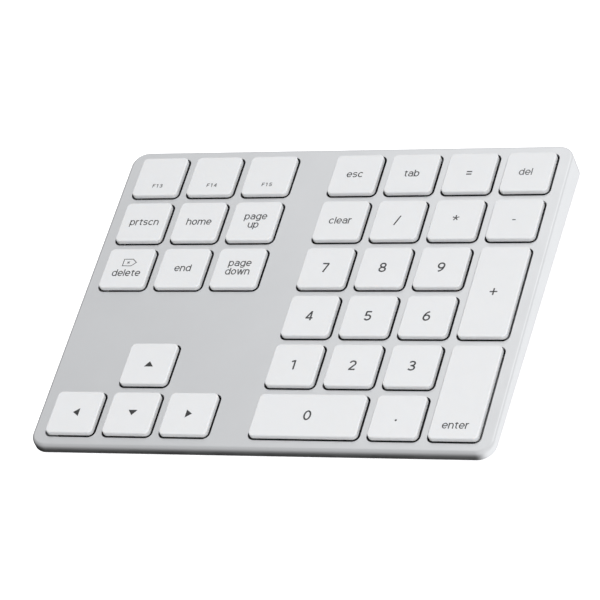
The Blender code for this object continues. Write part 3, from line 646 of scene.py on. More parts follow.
def polyimide():
    """Amber film with copper lines along the cable."""
    made = Finish("ribbon_film", (0.62, 0.36, 0.10), 0.3)
    lines = made.node("ShaderNodeTexWave", Scale=1.0 / (6.0 * MM), Distortion=0.0)
    lines.bands_direction = "X"
    made.link(made.place(), lines, "Vector")
    colours = made.ramp(lines.outputs["Fac"], (0.45, (0.62, 0.36, 0.10)), (0.55, (0.42, 0.20, 0.06)))
    made.link(colours, made.shader, "Base Color")
    made.polish(1.5 * MM, 0.25, 0.36)
    return made.material


def foam():
    made = Finish("foam", (0.03, 0.03, 0.032), 0.95)
    made.tint(0.4 * MM, 0.3).bump(made.cells(0.25 * MM), 0.1 * MM)
    return made.material


# Case


def case_edge(outward):
    """How far the rounding between deck and wall draws in, and how far it drops: fuller along the front."""
    toward_front = max(0.0, -outward.y) ** 2
    inset = SIDE_ROUNDING + (FRONT_INSET - SIDE_ROUNDING) * toward_front
    drop = SIDE_ROUNDING + (FRONT_DROP - SIDE_ROUNDING) * toward_front
    return inset, drop


def on_table_plane(point, z):
    """Moves a point of the deck's frame along the deck's normal until its world height is z."""
    start = DECK @ point
    normal = DECK.to_3x3() @ Vector((0.0, 0.0, 1.0))
    return point + Vector((0.0, 0.0, (z - start.z) / normal.z))


def on_rim(point, lift=0.0):
    """Moves a point down to the walls' lower edge, which drops a little to the back, or lift above it."""
    share = point.y / CASE_DEPTH + 0.5
    return on_table_plane(point, RIM_FRONT + (RIM_REAR - RIM_FRONT) * share + lift)


def case_shell():
    """Deck, rounded edge, walls down to the rim, and the hollow inside."""
    outline = rounded_outline(CASE_WIDTH, CASE_DEPTH, CASE_CORNER, CASE_STEPS)
    ceiling = level_ring(outline, -PANEL_THICKNESS, inset=CASE_WALL)
    rings = [ceiling, [on_rim(point) for point in ceiling]]
    for inset, drop in reversed(fillet(RIM_ROUNDING, 3)):
        rings.append([on_rim(point, drop) for point in level_ring(outline, 0.0, inset=inset)])
    rounding_steps = 9
    for step in range(rounding_steps + 1):
        turn = step / rounding_steps * math.pi / 2
        ring = []
        for point, outward in outline:
            inset, drop = case_edge(outward)
            drawn_in = point - outward * inset * (1 - math.cos(turn))
            ring.append(Vector((*drawn_in, -drop * (1 - math.sin(turn)))))
        rings.append(ring)
    return lofted(rings)


def key_openings():
    """A cutter with one prism for each key, flared at the deck so that the opening's edge is rounded."""
    bodies = []
    for name in KEY_BOXES:
        width, depth = key_size(name)
        middle = key_middle(name)
        outline = rounded_outline(
            width + 2 * KEY_GAP, depth + 2 * KEY_GAP, KEY_CORNER + KEY_GAP, KEY_STEPS
        )
        profile = [(0.0, -PANEL_THICKNESS - CUTTER_REACH)]
        profile += [(-inset, -drop) for inset, drop in fillet(OPENING_ROUNDING, 4)[:-1]]
        profile.append((-OPENING_ROUNDING * FLARE_SHARE, CUTTER_REACH))
        bodies.append(stacked(outline, profile, middle))
    return lofted(*bodies)


def flared_through_wall(outline, centre):
    """A cutter through the rear wall whose outer edge is rounded."""
    profile = [(0.0, REAR_FACE - CASE_WALL - CUTTER_REACH)]
    profile += [(-inset, REAR_FACE - drop) for inset, drop in fillet(OPENING_FLARE, 3)[:-1]]
    profile.append((-OPENING_FLARE * FLARE_SHARE, REAR_FACE + CUTTER_REACH))
    return stacked_upright(outline, profile, centre)


def between(first, second, axis):
    """The middle of the land between two neighbouring keys."""
    return (KEY_BOXES[first][1][axis] + KEY_BOXES[second][0][axis]) / 2


def stake_places():
    """Posts stand where four lands meet."""
    columns = (
        between("key_arrow_left", "key_arrow_down", 0),
        between("key_arrow_right", "key_0", 0),
        between("key_2", "key_3", 0),
    )
    rows = (between("key_0", "key_1", 1), between("key_clear", "key_escape", 1))
    return [(x, y) for x in columns for y in rows]


def screw_column(radius, low, high):
    """An upright cylinder at each screw, in the world frame."""
    return lofted(*[
        turned(((radius, low), (radius, high)), node_middle(name)) for name in SCREWS
    ])


def boss_tops():
    """Posts from inside the deck's thickness down to the base cover."""
    bodies = []
    for name in SCREWS:
        middle = node_middle(name)
        on_deck = DECK.inverted() @ middle
        top = (DECK @ Vector((on_deck.x, on_deck.y, -PANEL_THICKNESS / 2))).z
        bodies.append(turned(((BOSS_RADIUS, BOSS_BOTTOM), (BOSS_RADIUS, top)), middle))
    return lofted(*bodies)


def rear_openings():
    """A cutter for the socket, the light, the switch and the button."""
    usb = rounded_outline(
        USB_WIDTH + 2 * FIT_GAP, USB_HEIGHT + 2 * FIT_GAP, USB_HEIGHT / 2 + FIT_GAP, ROUND_STEPS
    )
    switch = rounded_outline(
        SWITCH_NUB_WIDTH + SWITCH_TRAVEL + 2 * MOVING_GAP,
        SWITCH_NUB_HEIGHT + 2 * MOVING_GAP,
        SWITCH_NUB_HEIGHT / 2,
        ROUND_STEPS,
    )
    led = circle_outline(LED_RADIUS + FIT_GAP)
    pairing = circle_outline(PAIRING_RADIUS + MOVING_GAP)
    openings = (
        (usb, USB_CENTRE), (switch, SWITCH_CENTRE), (led, LED_CENTRE), (pairing, PAIRING_CENTRE)
    )
    return lofted(*[flared_through_wall(outline, centre) for outline, centre in openings])


def build_case():
    shell = new_object("case_shell", case_shell(), DECK)
    root = -PANEL_THICKNESS / 2
    posts = lofted(*[
        turned(((STAKE_RADIUS, STAKE_END), (STAKE_RADIUS, root)), place, 4) for place in stake_places()
    ])
    carve(
        shell,
        ("DIFFERENCE", key_openings(), DECK),
        ("DIFFERENCE", rear_openings(), DECK),
        ("UNION", posts, DECK),
        ("UNION", boss_tops(), FLAT),
        ("DIFFERENCE", screw_column(SCREW_HOLE_RADIUS, 0.0, SCREW_BORE_TOP), FLAT),
    )
    attach(shell, aluminium(), BASE_BODY, ["top_case"])


# Keys


def keycap(width, depth, top, skirt):
    """A hollow cap with a filleted top edge, open below."""
    hollow_edge = reversed(fillet(KEY_INNER_FILLET, 3))
    skirt_edge = list(reversed(fillet(KEY_SKIRT_EDGE, 3)))
    profile = [(KEY_WALL + inset, KEY_CEILING - drop) for inset, drop in hollow_edge]
    # This edge runs from the skirt's foot up, against the wall above it, which folds the mesh a little
    profile += [(KEY_WALL - inset, skirt + drop) for inset, drop in skirt_edge]
    profile += [(inset, skirt + drop) for inset, drop in skirt_edge]
    profile += [(inset, top - drop) for inset, drop in fillet(KEY_FILLET, 7)]
    profile.append((KEY_FILLET + KEY_INNER_FILLET, top))
    return stacked(rounded_outline(width, depth, KEY_CORNER, KEY_STEPS), profile)


def build_keycaps():
    finish = keycap_plastic()
    for name, (low, high) in KEY_BOXES.items():
        width, depth = key_size(name)
        middle = key_middle(name)
        pad = turned((
            (PRESS_PAD_RADIUS, KEY_CEILING - PRESS_PAD_DEPTH),
            (PRESS_PAD_RADIUS, KEY_CEILING + PRESS_PAD_DEPTH),
        ))
        mesh = lofted(keycap(width, depth, high.z, low.z), pad)
        cap_name = name.replace("key_", "keycap_")
        piece(cap_name, mesh, finish, name, deck_place(middle.x, middle.y), [name])


# Printed legends


class Print:
    """The ink on one key. Each stroke lies a little higher than the last, so that no two faces coincide."""

    def __init__(self):
        self.mesh = bmesh.new()
        self.height = INK_HEIGHT

    def add(self, rings):
        add_loft(self.mesh, rings)
        self.height += INK_STEP

    def shape(self, corners):
        """A flat filled shape."""
        self.add([[Vector((x, y, z)) for x, y in corners] for z in (-INK_HEIGHT, self.height)])

    def stroke(self, path, width):
        """A ribbon of even width along a path, with square ends and mitred corners."""
        path = [Vector(point) for point in path]
        headings = [(after - here).normalized() for here, after in zip(path, path[1:])]
        rings = []
        for count, here in enumerate(path):
            arriving = headings[max(count - 1, 0)]
            leaving = headings[min(count, len(headings) - 1)]
            side = Vector((-arriving.y - leaving.y, arriving.x + leaving.x)).normalized()
            side *= width / 2 / side.dot(Vector((-arriving.y, arriving.x)))
            left, right = here - side, here + side
            rings.append([
                Vector((*left, -INK_HEIGHT)), Vector((*right, -INK_HEIGHT)),
                Vector((*right, self.height)), Vector((*left, self.height)),
            ])
        self.add(rings)


def arc(x, y, across, up, start, end):
    """Points along part of an ellipse, with its angles in degrees."""
    steps = max(2, round(abs(end - start) / 12))
    angles = [math.radians(start + (end - start) * step / steps) for step in range(steps + 1)]
    return [(x + across * math.cos(angle), y + up * math.sin(angle)) for angle in angles]


def bowl(x):
    """The round part of a small letter, with its middle at x."""
    return arc(x, 0.5, 0.37, 0.42, 0, 360)


def arch(left, right):
    """From a stem over to the right and down to the baseline."""
    half = (right - left) / 2
    return arc(left + half, 0.58, half, 0.34, 180, 0) + [(right, 0.0)]


STEM = [(0.09, 0.0), (0.09, 1.0)]
TALL_STEM = [(0.09, 0.0), (0.09, 1.28)]

# Small letters: each glyph's width and the middles of its strokes, in units of the small letters' height
SMALL_LETTERS = {
    "a": (0.88, (
        arc(0.44, 0.61, 0.34, 0.31, 155, 0) + [(0.78, 0.0)],
        [(0.78, 0.57)] + arc(0.40, 0.33, 0.30, 0.24, 90, 270) + arc(0.50, 0.37, 0.28, 0.28, 275, 345),
    )),
    "b": (0.92, (TALL_STEM, bowl(0.46))),
    "c": (0.88, (arc(0.47, 0.5, 0.38, 0.42, 42, 318),)),
    "d": (0.92, ([(0.83, 0.0), (0.83, 1.28)], bowl(0.46))),
    "e": (0.92, (arc(0.47, 0.5, 0.38, 0.42, 0, 318), [(0.12, 0.48), (0.89, 0.48)])),
    "g": (0.92, (
        [(0.83, 1.0), (0.83, 0.02)] + arc(0.47, 0.02, 0.36, 0.25, -15, -150),
        bowl(0.46),
    )),
    "h": (0.86, (TALL_STEM, arch(0.09, 0.77))),
    "l": (0.18, (TALL_STEM,)),
    "m": (1.42, (STEM, arch(0.09, 0.71), arch(0.71, 1.33))),
    "n": (0.86, (STEM, arch(0.09, 0.77))),
    "o": (0.92, (bowl(0.46),)),
    "p": (0.92, ([(0.09, -0.31), (0.09, 1.0)], bowl(0.46))),
    "r": (0.52, (STEM, arc(0.44, 0.56, 0.35, 0.36, 180, 78))),
    "s": (0.82, (
        arc(0.42, 0.72, 0.31, 0.20, 28, 270) + arc(0.41, 0.30, 0.32, 0.22, 85, -152),
    )),
    "t": (0.60, (
        [(0.28, 1.13), (0.28, 0.3)] + arc(0.49, 0.29, 0.21, 0.21, 190, 285),
        [(0.02, 0.92), (0.58, 0.92)],
    )),
    "u": (0.86, (
        [(0.09, 1.0)] + arc(0.43, 0.42, 0.34, 0.34, 180, 360),
        [(0.77, 1.0), (0.77, 0.0)],
    )),
    "w": (1.24, (
        [(0.06, 1.0), (0.35, 0.0)],
        [(0.35, 0.0), (0.62, 1.0)],
        [(0.62, 1.0), (0.89, 0.0)],
        [(0.89, 0.0), (1.18, 1.0)],
    )),
}

# Figures and the capital, in units of their own height
CAPITALS = {
    "0": (0.65, (arc(0.325, 0.5, 0.265, 0.44, 0, 360),)),
    "1": (0.65, ([(0.36, 0.0), (0.36, 1.0)], [(0.34, 0.94), (0.06, 0.83)])),
    "2": (0.65, (
        arc(0.32, 0.70, 0.25, 0.24, 168, -35) + [(0.09, 0.07)],
        [(0.04, 0.06), (0.62, 0.06)],
    )),
    "3": (0.65, (
        arc(0.31, 0.73, 0.24, 0.21, 155, -90),
        arc(0.31, 0.28, 0.27, 0.22, 90, -155),
        [(0.20, 0.51), (0.32, 0.51)],
    )),
    "4": (0.68, (
        [(0.48, 0.0), (0.48, 1.0)],
        [(0.46, 0.94), (0.08, 0.27)],
        [(0.02, 0.26), (0.66, 0.26)],
    )),
    "5": (0.65, (
        [(0.60, 0.94), (0.13, 0.94)],
        [(0.17, 0.97), (0.12, 0.48)],
        arc(0.33, 0.32, 0.26, 0.26, 130, -155),
    )),
    "6": (0.65, (
        arc(0.33, 0.32, 0.265, 0.265, 0, 360),
        arc(0.60, 0.32, 0.535, 0.63, 98, 180),
    )),
    "7": (0.63, ([(0.02, 0.94), (0.61, 0.94)], [(0.57, 0.92), (0.22, 0.0)])),
    "8": (0.65, (
        arc(0.325, 0.73, 0.225, 0.21, 0, 360),
        arc(0.325, 0.28, 0.265, 0.22, 0, 360),
    )),
    "9": (0.65, (
        arc(0.32, 0.68, 0.265, 0.265, 0, 360),
        arc(0.05, 0.68, 0.535, 0.63, -82, 0),
    )),
    "F": (0.60, ([(0.07, 0.0), (0.07, 1.0)], [(0.07, 0.94), (0.58, 0.94)], [(0.07, 0.50), (0.52, 0.50)])),
}


def write(pad_print, glyphs, text, height, narrowing, gap, width, baseline, middle_x=0.0):
    """Prints a line of text about middle_x."""
    widths = [glyphs[letter][0] * height * narrowing for letter in text]
    x = middle_x - (sum(widths) + gap * (len(text) - 1)) / 2
    for letter, across in zip(text, widths):
        for path in glyphs[letter][1]:
            points = [(x + px * height * narrowing, baseline + py * height) for px, py in path]
            pad_print.stroke(points, width)
        x += across + gap


def word_legend(*lines, middle=WORD_MIDDLE, middle_x=0.0):
    """One or two lines of small letters about the key's middle."""
    def draw(pad_print):
        first = middle + (len(lines) - 1) * LINE_SPACING / 2 - LETTER_HEIGHT / 2
        for count, text in enumerate(lines):
            baseline = first - count * LINE_SPACING
            write(
                pad_print, SMALL_LETTERS, text, LETTER_HEIGHT, LETTER_NARROWING,
                LETTER_GAP, LETTER_STROKE, baseline, middle_x,
            )
    return draw


def number_legend(text):
    def draw(pad_print):
        write(pad_print, CAPITALS, text, NUMBER_HEIGHT, 1.0, 0.0, NUMBER_STROKE, -NUMBER_HEIGHT / 2)
    return draw


def function_legend(text):
    """The small legends low on the function keys."""
    def draw(pad_print):
        baseline = SMALL_MIDDLE - SMALL_HEIGHT / 2
        write(pad_print, CAPITALS, text, SMALL_HEIGHT, SMALL_WIDENING, SMALL_GAP, SMALL_STROKE, baseline)
    return draw


def line(pad_print, start, end, width):
    """A straight stroke between two points given in millimetres."""
    pad_print.stroke([Vector(start) * MM, Vector(end) * MM], width)


def sign_legend(*strokes, width=SIGN_STROKE):
    """Straight strokes, each with its start and end in millimetres."""
    def draw(pad_print):
        for start, end in strokes:
            line(pad_print, start, end, width)
    return draw


def star_legend(pad_print):
    """Five arms, the first of them upright."""
    centre = Vector((0.0, 0.62))
    reach = 1.11
    for arm in range(5):
        angle = math.pi / 2 + arm * math.tau / 5
        tip = centre + reach * Vector((math.cos(angle), math.sin(angle)))
        line(pad_print, centre, tip, THIN_SIGN_STROKE)


def point_legend(pad_print):
    pad_print.shape([(point.x, point.y - 1.37 * MM) for point, _ in circle_outline(0.35 * MM, 4)])


def arrow_legend(heading):
    """A solid triangle that points along heading, in quarter turns from +X."""
    def draw(pad_print):
        turn = Matrix.Rotation(heading * math.pi / 2, 2)
        corners = (Vector((0.9, 0.0)), Vector((-1.13, 1.5)), Vector((-1.13, -1.5)))
        pad_print.shape([turn @ corner * MM for corner in corners])
    return draw


def forward_delete_legend(pad_print):
    """The word, with a tag that points right and a small cross in it above."""
    word_legend("delete", middle=-2.15 * MM)(pad_print)
    tag = ((-2.2, 2.3), (-2.2, 3.65), (0.85, 3.65), (2.3, 2.3), (0.85, 0.95), (-2.2, 0.95), (-2.2, 2.3))
    pad_print.stroke([Vector(corner) * MM for corner in tag], ICON_STROKE)
    for slope in (-1, 1):
        line(pad_print, (-0.85, 2.3 - 0.4 * slope), (-0.05, 2.3 + 0.4 * slope), ICON_STROKE)


LEGENDS = {
    "key_f13": function_legend("F13"),
    "key_f14": function_legend("F14"),
    "key_f15": function_legend("F15"),
    "key_escape": word_legend("esc"),
    "key_tab": word_legend("tab"),
    "key_equals": sign_legend(((-0.9, -0.66), (0.85, -0.66)), ((-0.9, 0.37), (0.85, 0.37))),
    "key_delete": word_legend("del", middle_x=-0.59 * MM),
    "key_print_screen": word_legend("prtscn"),
    "key_home": word_legend("home"),
    "key_page_up": word_legend("page", "up", middle=0.04 * MM),
    "key_clear": word_legend("clear"),
    "key_divide": sign_legend(((-0.75, -2.07), (0.75, 1.64))),
    "key_multiply": star_legend,
    "key_minus": sign_legend(((-0.53, -0.32), (0.53, -0.32)), width=THIN_SIGN_STROKE),
    "key_forward_delete": forward_delete_legend,
    "key_end": word_legend("end"),
    "key_page_down": word_legend("page", "down", middle=0.04 * MM),
    "key_plus": sign_legend(((-1.22, -0.06), (1.22, -0.06)), ((0.0, -1.38), (0.0, 1.26))),
    "key_arrow_up": arrow_legend(1),
    "key_arrow_left": arrow_legend(2),
    "key_arrow_down": arrow_legend(3),
    "key_arrow_right": arrow_legend(0),
    "key_decimal": point_legend,
    "key_enter": word_legend("enter", middle=-12.6 * MM),
}
FAINT_LEGENDS = ("key_f13", "key_f14", "key_f15", "key_delete")


def build_legends():
    dark = ink("arrow_ink", 0.03)
    grey = ink("legend_ink", 0.045)
    light = ink("function_ink", 0.12)
    for name, (_, high) in KEY_BOXES.items():
        pad_print = Print()
        LEGENDS.get(name, number_legend(name[-1]))(pad_print)
        finish = dark if "arrow" in name else light if name in FAINT_LEGENDS else grey
        middle = key_middle(name)
        shift = LEFT_BLOCK_SHIFT if middle.x < 0.0 else 0.0
        place = deck_place(middle.x + shift, middle.y - LEGEND_DROP, high.z)
        piece(name.replace("key_", "legend_"), pad_print.mesh, finish, name, place)


# Below the keys


def dome_rings():
    """A hollow rubber dome, from the crown inside it, round its foot and up to its top."""
    inner = ((0.9, -0.35), (1.25, -0.55), (1.45, -0.95), (2.15, -2.05), (2.3, -2.3))
    outer = ((2.8, -2.3), (2.75, -2.12), (2.55, -1.95), (1.85, -0.5), (1.72, -0.22))
    crown = ((1.5, -0.12), (1.4, 0.12), (1.3, 0.22), (1.15, 0.25))
    profile = [(radius * MM, height * MM) for radius, height in inner + outer + crown]
    return turned(profile)


def sloped_frame(width, depth, rise, low):
    """A rectangular frame whose front edge is low and whose back edge is high, or the reverse."""
    outer = rounded_outline(width, depth, FRAME_CORNER, 3)
    inner = rounded_outline(width - 2 * FRAME_BAR, depth - 2 * FRAME_BAR, FRAME_INNER_CORNER, 3)
    rings = []
    for outline, lift in ((outer, 0.0), (outer, FRAME_THICKNESS), (inner, FRAME_THICKNESS), (inner, 0.0)):
        ring = level_ring(outline, low + lift)
        for point in ring:
            point.z += abs(rise) / 2 + point.y / depth * rise
        rings.append(ring)
    return rings


def scissor_mesh(narrow_x, narrow_y):
    """Two frames that cross at their middles, with a pivot pin at each side."""
    width = NARROW_FRAME_WIDTH if narrow_x else FRAME_WIDTH
    depth = NARROW_FRAME_DEPTH if narrow_y else FRAME_DEPTH
    inner_width = width - 2 * FRAME_BAR - FRAME_GAP
    low = DOME_SHEET_TOP + FRAME_LIFT
    mesh = lofted(
        sloped_frame(width, depth, FRAME_RISE, low),
        sloped_frame(inner_width, depth, -FRAME_RISE, low),
        closed=True,
    )
    pivot_height = low + FRAME_RISE / 2 + FRAME_THICKNESS / 2
    pin = circle_outline(PIVOT_RADIUS, 3)
    for side in (-1, 1):
        ends = (side * (inner_width / 2 - PIVOT_INWARD), side * (inner_width / 2 + PIVOT_OUTWARD))
        add_loft(mesh, [
            [Vector((x, point.x, pivot_height + point.y)) for point, _ in pin] for x in ends
        ])
    return mesh


def build_key_works():
    """Each key's rubber dome and scissor frames."""
    silicone = rubber("dome_silicone", (0.10, 0.10, 0.105))
    acetal = moulded_plastic("scissor_acetal", (0.09, 0.09, 0.092), 0.4, 0.15 * MM)
    for name in KEY_BOXES:
        width, depth = key_size(name)
        middle = key_middle(name)
        place = deck_place(middle.x, middle.y)
        dome = piece(
            name.replace("key_", "dome_"), lofted(dome_rings()), silicone, place=place
        )
        scissor = piece(
            name.replace("key_", "scissor_"),
            scissor_mesh(depth > width, width > depth),
            acetal,
            place=place,
        )
        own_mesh(dome)
        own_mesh(scissor)


def stabiliser_pivots():
    """Each stabiliser's pivot in the deck's frame, with the direction along its bar."""
    to_deck = DECK.inverted()
    for joint in frame["joints"]:
        if joint["name"].startswith("stabiliser_"):
            yield to_deck @ Vector(joint["pos_m"]), to_deck.to_3x3() @ Vector(joint["axis"])


def build_dome_sheet():
    """The thin film that carries the domes, cut round the plate's cradles and the case's posts."""
    low, high = deck_box("dome_sheet")
    outline = rounded_outline(high.x - low.x, high.y - low.y, DOME_SHEET_CORNER, 6)
    bottom = DOME_SHEET_TOP - SHEET_THICKNESS
    sheet = new_object("dome_film", lofted(stacked(outline, ((0.0, bottom), (0.0, DOME_SHEET_TOP)))), DECK)
    bottom -= SHEET_THICKNESS
    top = DOME_SHEET_TOP + SHEET_THICKNESS
    stake_hole = ((STAKE_HOLE_RADIUS, bottom), (STAKE_HOLE_RADIUS, top))
    holes = [turned(stake_hole, place, 4) for place in stake_places()]
    for pivot, along in stabiliser_pivots():
        across = Vector((-along.y, along.x, 0.0))
        half = along * CRADLE_WINDOW_ALONG / 2 + across * CRADLE_WINDOW_ACROSS / 2
        for side in (-1, 1):
            place = pivot + along * side * CRADLE_OFFSET
            holes.append(block(
                (place.x - abs(half.x), place.y - abs(half.y), bottom),
                (place.x + abs(half.x), place.y + abs(half.y), top),
            ))
    carve(sheet, ("DIFFERENCE", lofted(*holes), DECK))
    finish = rubber("dome_film", (0.045, 0.045, 0.047))
    attach(sheet, finish, BASE_BODY, ["dome_sheet"])


# Base cover, feet and screws


def base_tray(low, high):
    """Floor, walls that stand inside the case's rim, and a rounded lower edge."""
    outline = rounded_outline(high.x - low.x, high.y - low.y, BASE_CORNER, CASE_STEPS)
    profile = [(BASE_WALL, BASE_FLOOR), (BASE_WALL, BASE_WALL_TOP), (0.0, BASE_WALL_TOP)]
    profile += [(inset, BASE_BOTTOM + drop) for inset, drop in fillet(BASE_ROUNDING, 5)]
    return stacked(outline, profile, (low + high) / 2)


def flared_hole(middle, radius, top):
    """A round cutter from below, rounded where it meets the cover's underside."""
    edge = reversed(fillet(RECESS_FLARE, 3)[:-1])
    profile = [(radius + RECESS_FLARE, 0.0)]
    profile += [(radius + inset, BASE_BOTTOM + drop) for inset, drop in edge]
    return turned(profile + [(radius, top)], middle)


def build_base_cover():
    low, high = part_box("base_cover")
    cover = new_object("base_shell", lofted(base_tray(low, high)), FLAT)
    foot_low, foot_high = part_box(FEET[0])
    foot_radius = (foot_high.x - foot_low.x) / 2
    recesses = [
        flared_hole(node_middle(name), foot_radius + FOOT_RECESS_GAP, FOOT_RECESS_TOP)
        for name in FEET
    ]
    counterbores = [
        flared_hole(node_middle(name), COUNTERBORE_RADIUS, COUNTERBORE_TOP) for name in SCREWS
    ]
    usb_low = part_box("usb_c_port")[0]
    switch_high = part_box("pairing_switch")[1]
    clearance = 0.6 * MM
    notch = block(
        (usb_low.x - clearance, high.y - 4.0 * MM, usb_low.z - clearance),
        (switch_high.x + clearance, high.y + 1.0 * MM, BASE_WALL_TOP + clearance),
    )
    carve(
        cover,
        ("UNION", screw_column(SCREW_PAD_RADIUS, BASE_FLOOR - 0.2 * MM, SCREW_PAD_TOP), FLAT),
        ("DIFFERENCE", lofted(*recesses), FLAT),
        ("DIFFERENCE", screw_column(SCREW_HOLE_RADIUS, 0.0, SCREW_PAD_TOP + 1.0 * MM), FLAT),
        ("DIFFERENCE", lofted(*counterbores), FLAT),
        ("DIFFERENCE", lofted(notch), FLAT),
    )
    finish = moulded_plastic("base_plastic", (0.60, 0.61, 0.62), 0.5, 0.3 * MM)
    attach(cover, finish, BASE_BODY, ["base_cover"])


def build_feet():
    finish = rubber("foot_rubber", (0.22, 0.22, 0.225))
    for name in FEET:
        low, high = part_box(name)
        middle = (low + high) / 2
        radius = (high.x - low.x) / 2
        profile = [(radius - FOOT_ROUNDING - FOOT_FLAT_EDGE, 0.0)]
        profile += [(radius - inset, drop) for inset, drop in reversed(fillet(FOOT_ROUNDING, 5))]
        profile.append((radius, high.z))
        mesh = lofted(turned(profile, (0.0, 0.0), 12))
        place = Matrix.Translation((middle.x, middle.y, 0.0))
        pad = name.replace("foot_", "pad_")
        piece(pad, mesh, finish, place=place, stands_for=[name])


def star_outline(radius, depth, lobes, steps):
    """A lobed drive socket's outline, as points with outward directions."""
    outline = []
    for step in range(steps):
        angle = step / steps * math.tau
        outward = Vector((math.cos(angle), math.sin(angle)))
        outline.append((outward * (radius - depth * (1 - math.cos(lobes * angle)) / 2), outward))
    return outline


def screw_rings(bottom, top):
    """A screw, head down: its drive socket, its rounded head, and a shank with thread ridges."""
    socket = star_outline(SOCKET_RADIUS, LOBE_DEPTH, SCREW_LOBES, SCREW_STEPS)
    head = star_outline(SCREW_HEAD_RADIUS, 0.0, SCREW_LOBES, SCREW_STEPS)
    shank = star_outline(SCREW_SHANK_RADIUS, 0.0, SCREW_LOBES, SCREW_STEPS)
    head_edge = reversed(fillet(SCREW_HEAD_EDGE, 4))
    thread = [(THREAD_DEPTH, SCREW_HEAD_TOP)]
    height = SCREW_HEAD_TOP + THREAD_START
    while height + THREAD_PITCH < top - THREAD_END:
        thread.append((THREAD_DEPTH, height))
        thread += [(0.0, height + THREAD_PITCH * share) for share in THREAD_CREST]
        height += THREAD_PITCH
    thread += [(THREAD_DEPTH, height), (SCREW_TIP_INSET, top)]
    rings = stacked(socket, ((SOCKET_TAPER, bottom + SOCKET_DEPTH), (0.0, bottom)))
    rings += stacked(head, [(inset, bottom + drop) for inset, drop in head_edge])
    return rings + stacked(head, ((0.0, SCREW_HEAD_TOP),)) + stacked(shank, thread)


def build_screws():
    finish = steel("screw_steel", (0.42, 0.42, 0.43), 0.28)
    for name in SCREWS:
        low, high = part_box(name)
        middle = (low + high) / 2
        place = Matrix.Translation((middle.x, middle.y, 0.0))
        bolt = name.replace("screw_", "bolt_")
        mesh = lofted(screw_rings(low.z, high.z))
        piece(bolt, mesh, finish, place=place, stands_for=[name])


# Rear fittings and the board


def build_usb_port():
    """A drawn steel shell, and the tongue with its contacts."""
    low, high = deck_box("usb_c_port")
    mouth = high.y
    floor = mouth - USB_DEPTH
    lip = fillet(USB_LIP, 3)
    profile = [(USB_WALL, floor)]
    profile += [(USB_WALL - inset, mouth - drop) for inset, drop in lip]
    profile += [(inset, mouth - drop) for inset, drop in reversed(lip)]
    profile.append((0.0, low.y))
    shell = rounded_outline(USB_WIDTH, USB_HEIGHT, USB_HEIGHT / 2, 10)
    rings = stacked_upright(shell, profile, USB_CENTRE)
    finish = steel("socket_steel", (0.60, 0.60, 0.61), 0.26)
    piece("usb_shell", lofted(rings), finish, stands_for=["usb_c_port"])

    tip = floor + USB_TONGUE_LENGTH
    tongue = rounded_outline(USB_TONGUE_WIDTH, 2 * USB_TONGUE_HALF_HEIGHT, 0.2 * MM, 3)
    profile = ((0.0, floor - 0.2 * MM), (0.0, tip - 0.1 * MM), (0.08 * MM, tip))
    black = moulded_plastic("tongue_plastic", (0.02, 0.02, 0.021), 0.45, 0.1 * MM)
    piece("usb_tongue", lofted(stacked_upright(tongue, profile, USB_CENTRE)), black)

    contacts = []
    thickness = 0.02 * MM
    for side in (-1, 1):
        for count in range(CONTACTS_IN_ROW):
            x = USB_CENTRE[0] + (count - (CONTACTS_IN_ROW - 1) / 2) * CONTACT_PITCH
            z = USB_CENTRE[1] + side * USB_TONGUE_HALF_HEIGHT
            start = (x - CONTACT_HALF_WIDTH, floor, z - thickness)
            contacts.append(block(start, (x + CONTACT_HALF_WIDTH, tip - 0.5 * MM, z + thickness)))
    gold = steel("contact_gold", (0.80, 0.58, 0.22), 0.25)
    piece("usb_contacts", lofted(*contacts), gold)


def build_light_pipe():
    """A clear pin with a domed end behind the wall's small round hole."""
    low, high = deck_box("led_light_pipe")
    shoulder = REAR_FACE - CASE_WALL - MOVING_GAP
    profile = [(LED_FLANGE_RADIUS, low.y), (LED_FLANGE_RADIUS, shoulder), (LED_RADIUS, shoulder)]
    profile += [(LED_RADIUS - inset, high.y - drop) for inset, drop in fillet(0.3 * MM, 5)]
    mesh = lofted(turned_upright(profile, LED_CENTRE))
    piece("light_pipe_lens", mesh, clear_acrylic(), stands_for=["led_light_pipe"])


def build_power_slider():
    """The slider's stem and its ridged nub, which rests at the low-X end of its travel."""
    low, high = deck_box("power_switch_slider")
    x = (low.x + high.x) / 2
    centre = (x, SWITCH_CENTRE[1])
    stem = rounded_outline(2.0 * MM, 1.0 * MM, 0.2 * MM, 4)
    nub = rounded_outline(SWITCH_NUB_WIDTH, SWITCH_NUB_HEIGHT, 0.5 * MM, 6)
    nub_start = high.y - SWITCH_NUB_LENGTH
    face = high.y - 0.2 * MM
    ridge = rounded_outline(0.22 * MM, 1.1 * MM, 0.1 * MM, 3)
    ridge_profile = ((0.0, face - 0.1 * MM), (0.0, high.y - 0.05 * MM), (0.06 * MM, high.y))
    bodies = [
        stacked_upright(stem, ((0.0, low.y), (0.0, nub_start), (0.0, nub_start + 0.05 * MM)), centre),
        stacked_upright(nub, ((0.0, nub_start), (0.0, face - 0.15 * MM), (0.12 * MM, face)), centre),
    ]
    for count in range(-2, 3):
        bodies.append(stacked_upright(ridge, ridge_profile, (x + count * RIDGE_PITCH, centre[1])))
    finish = moulded_plastic("slider_plastic", (0.60, 0.61, 0.63), 0.42, 0.12 * MM)
    piece(
        "power_slider", lofted(*bodies), finish,
        "power_switch_slider", stands_for=["power_switch_slider"],
    )


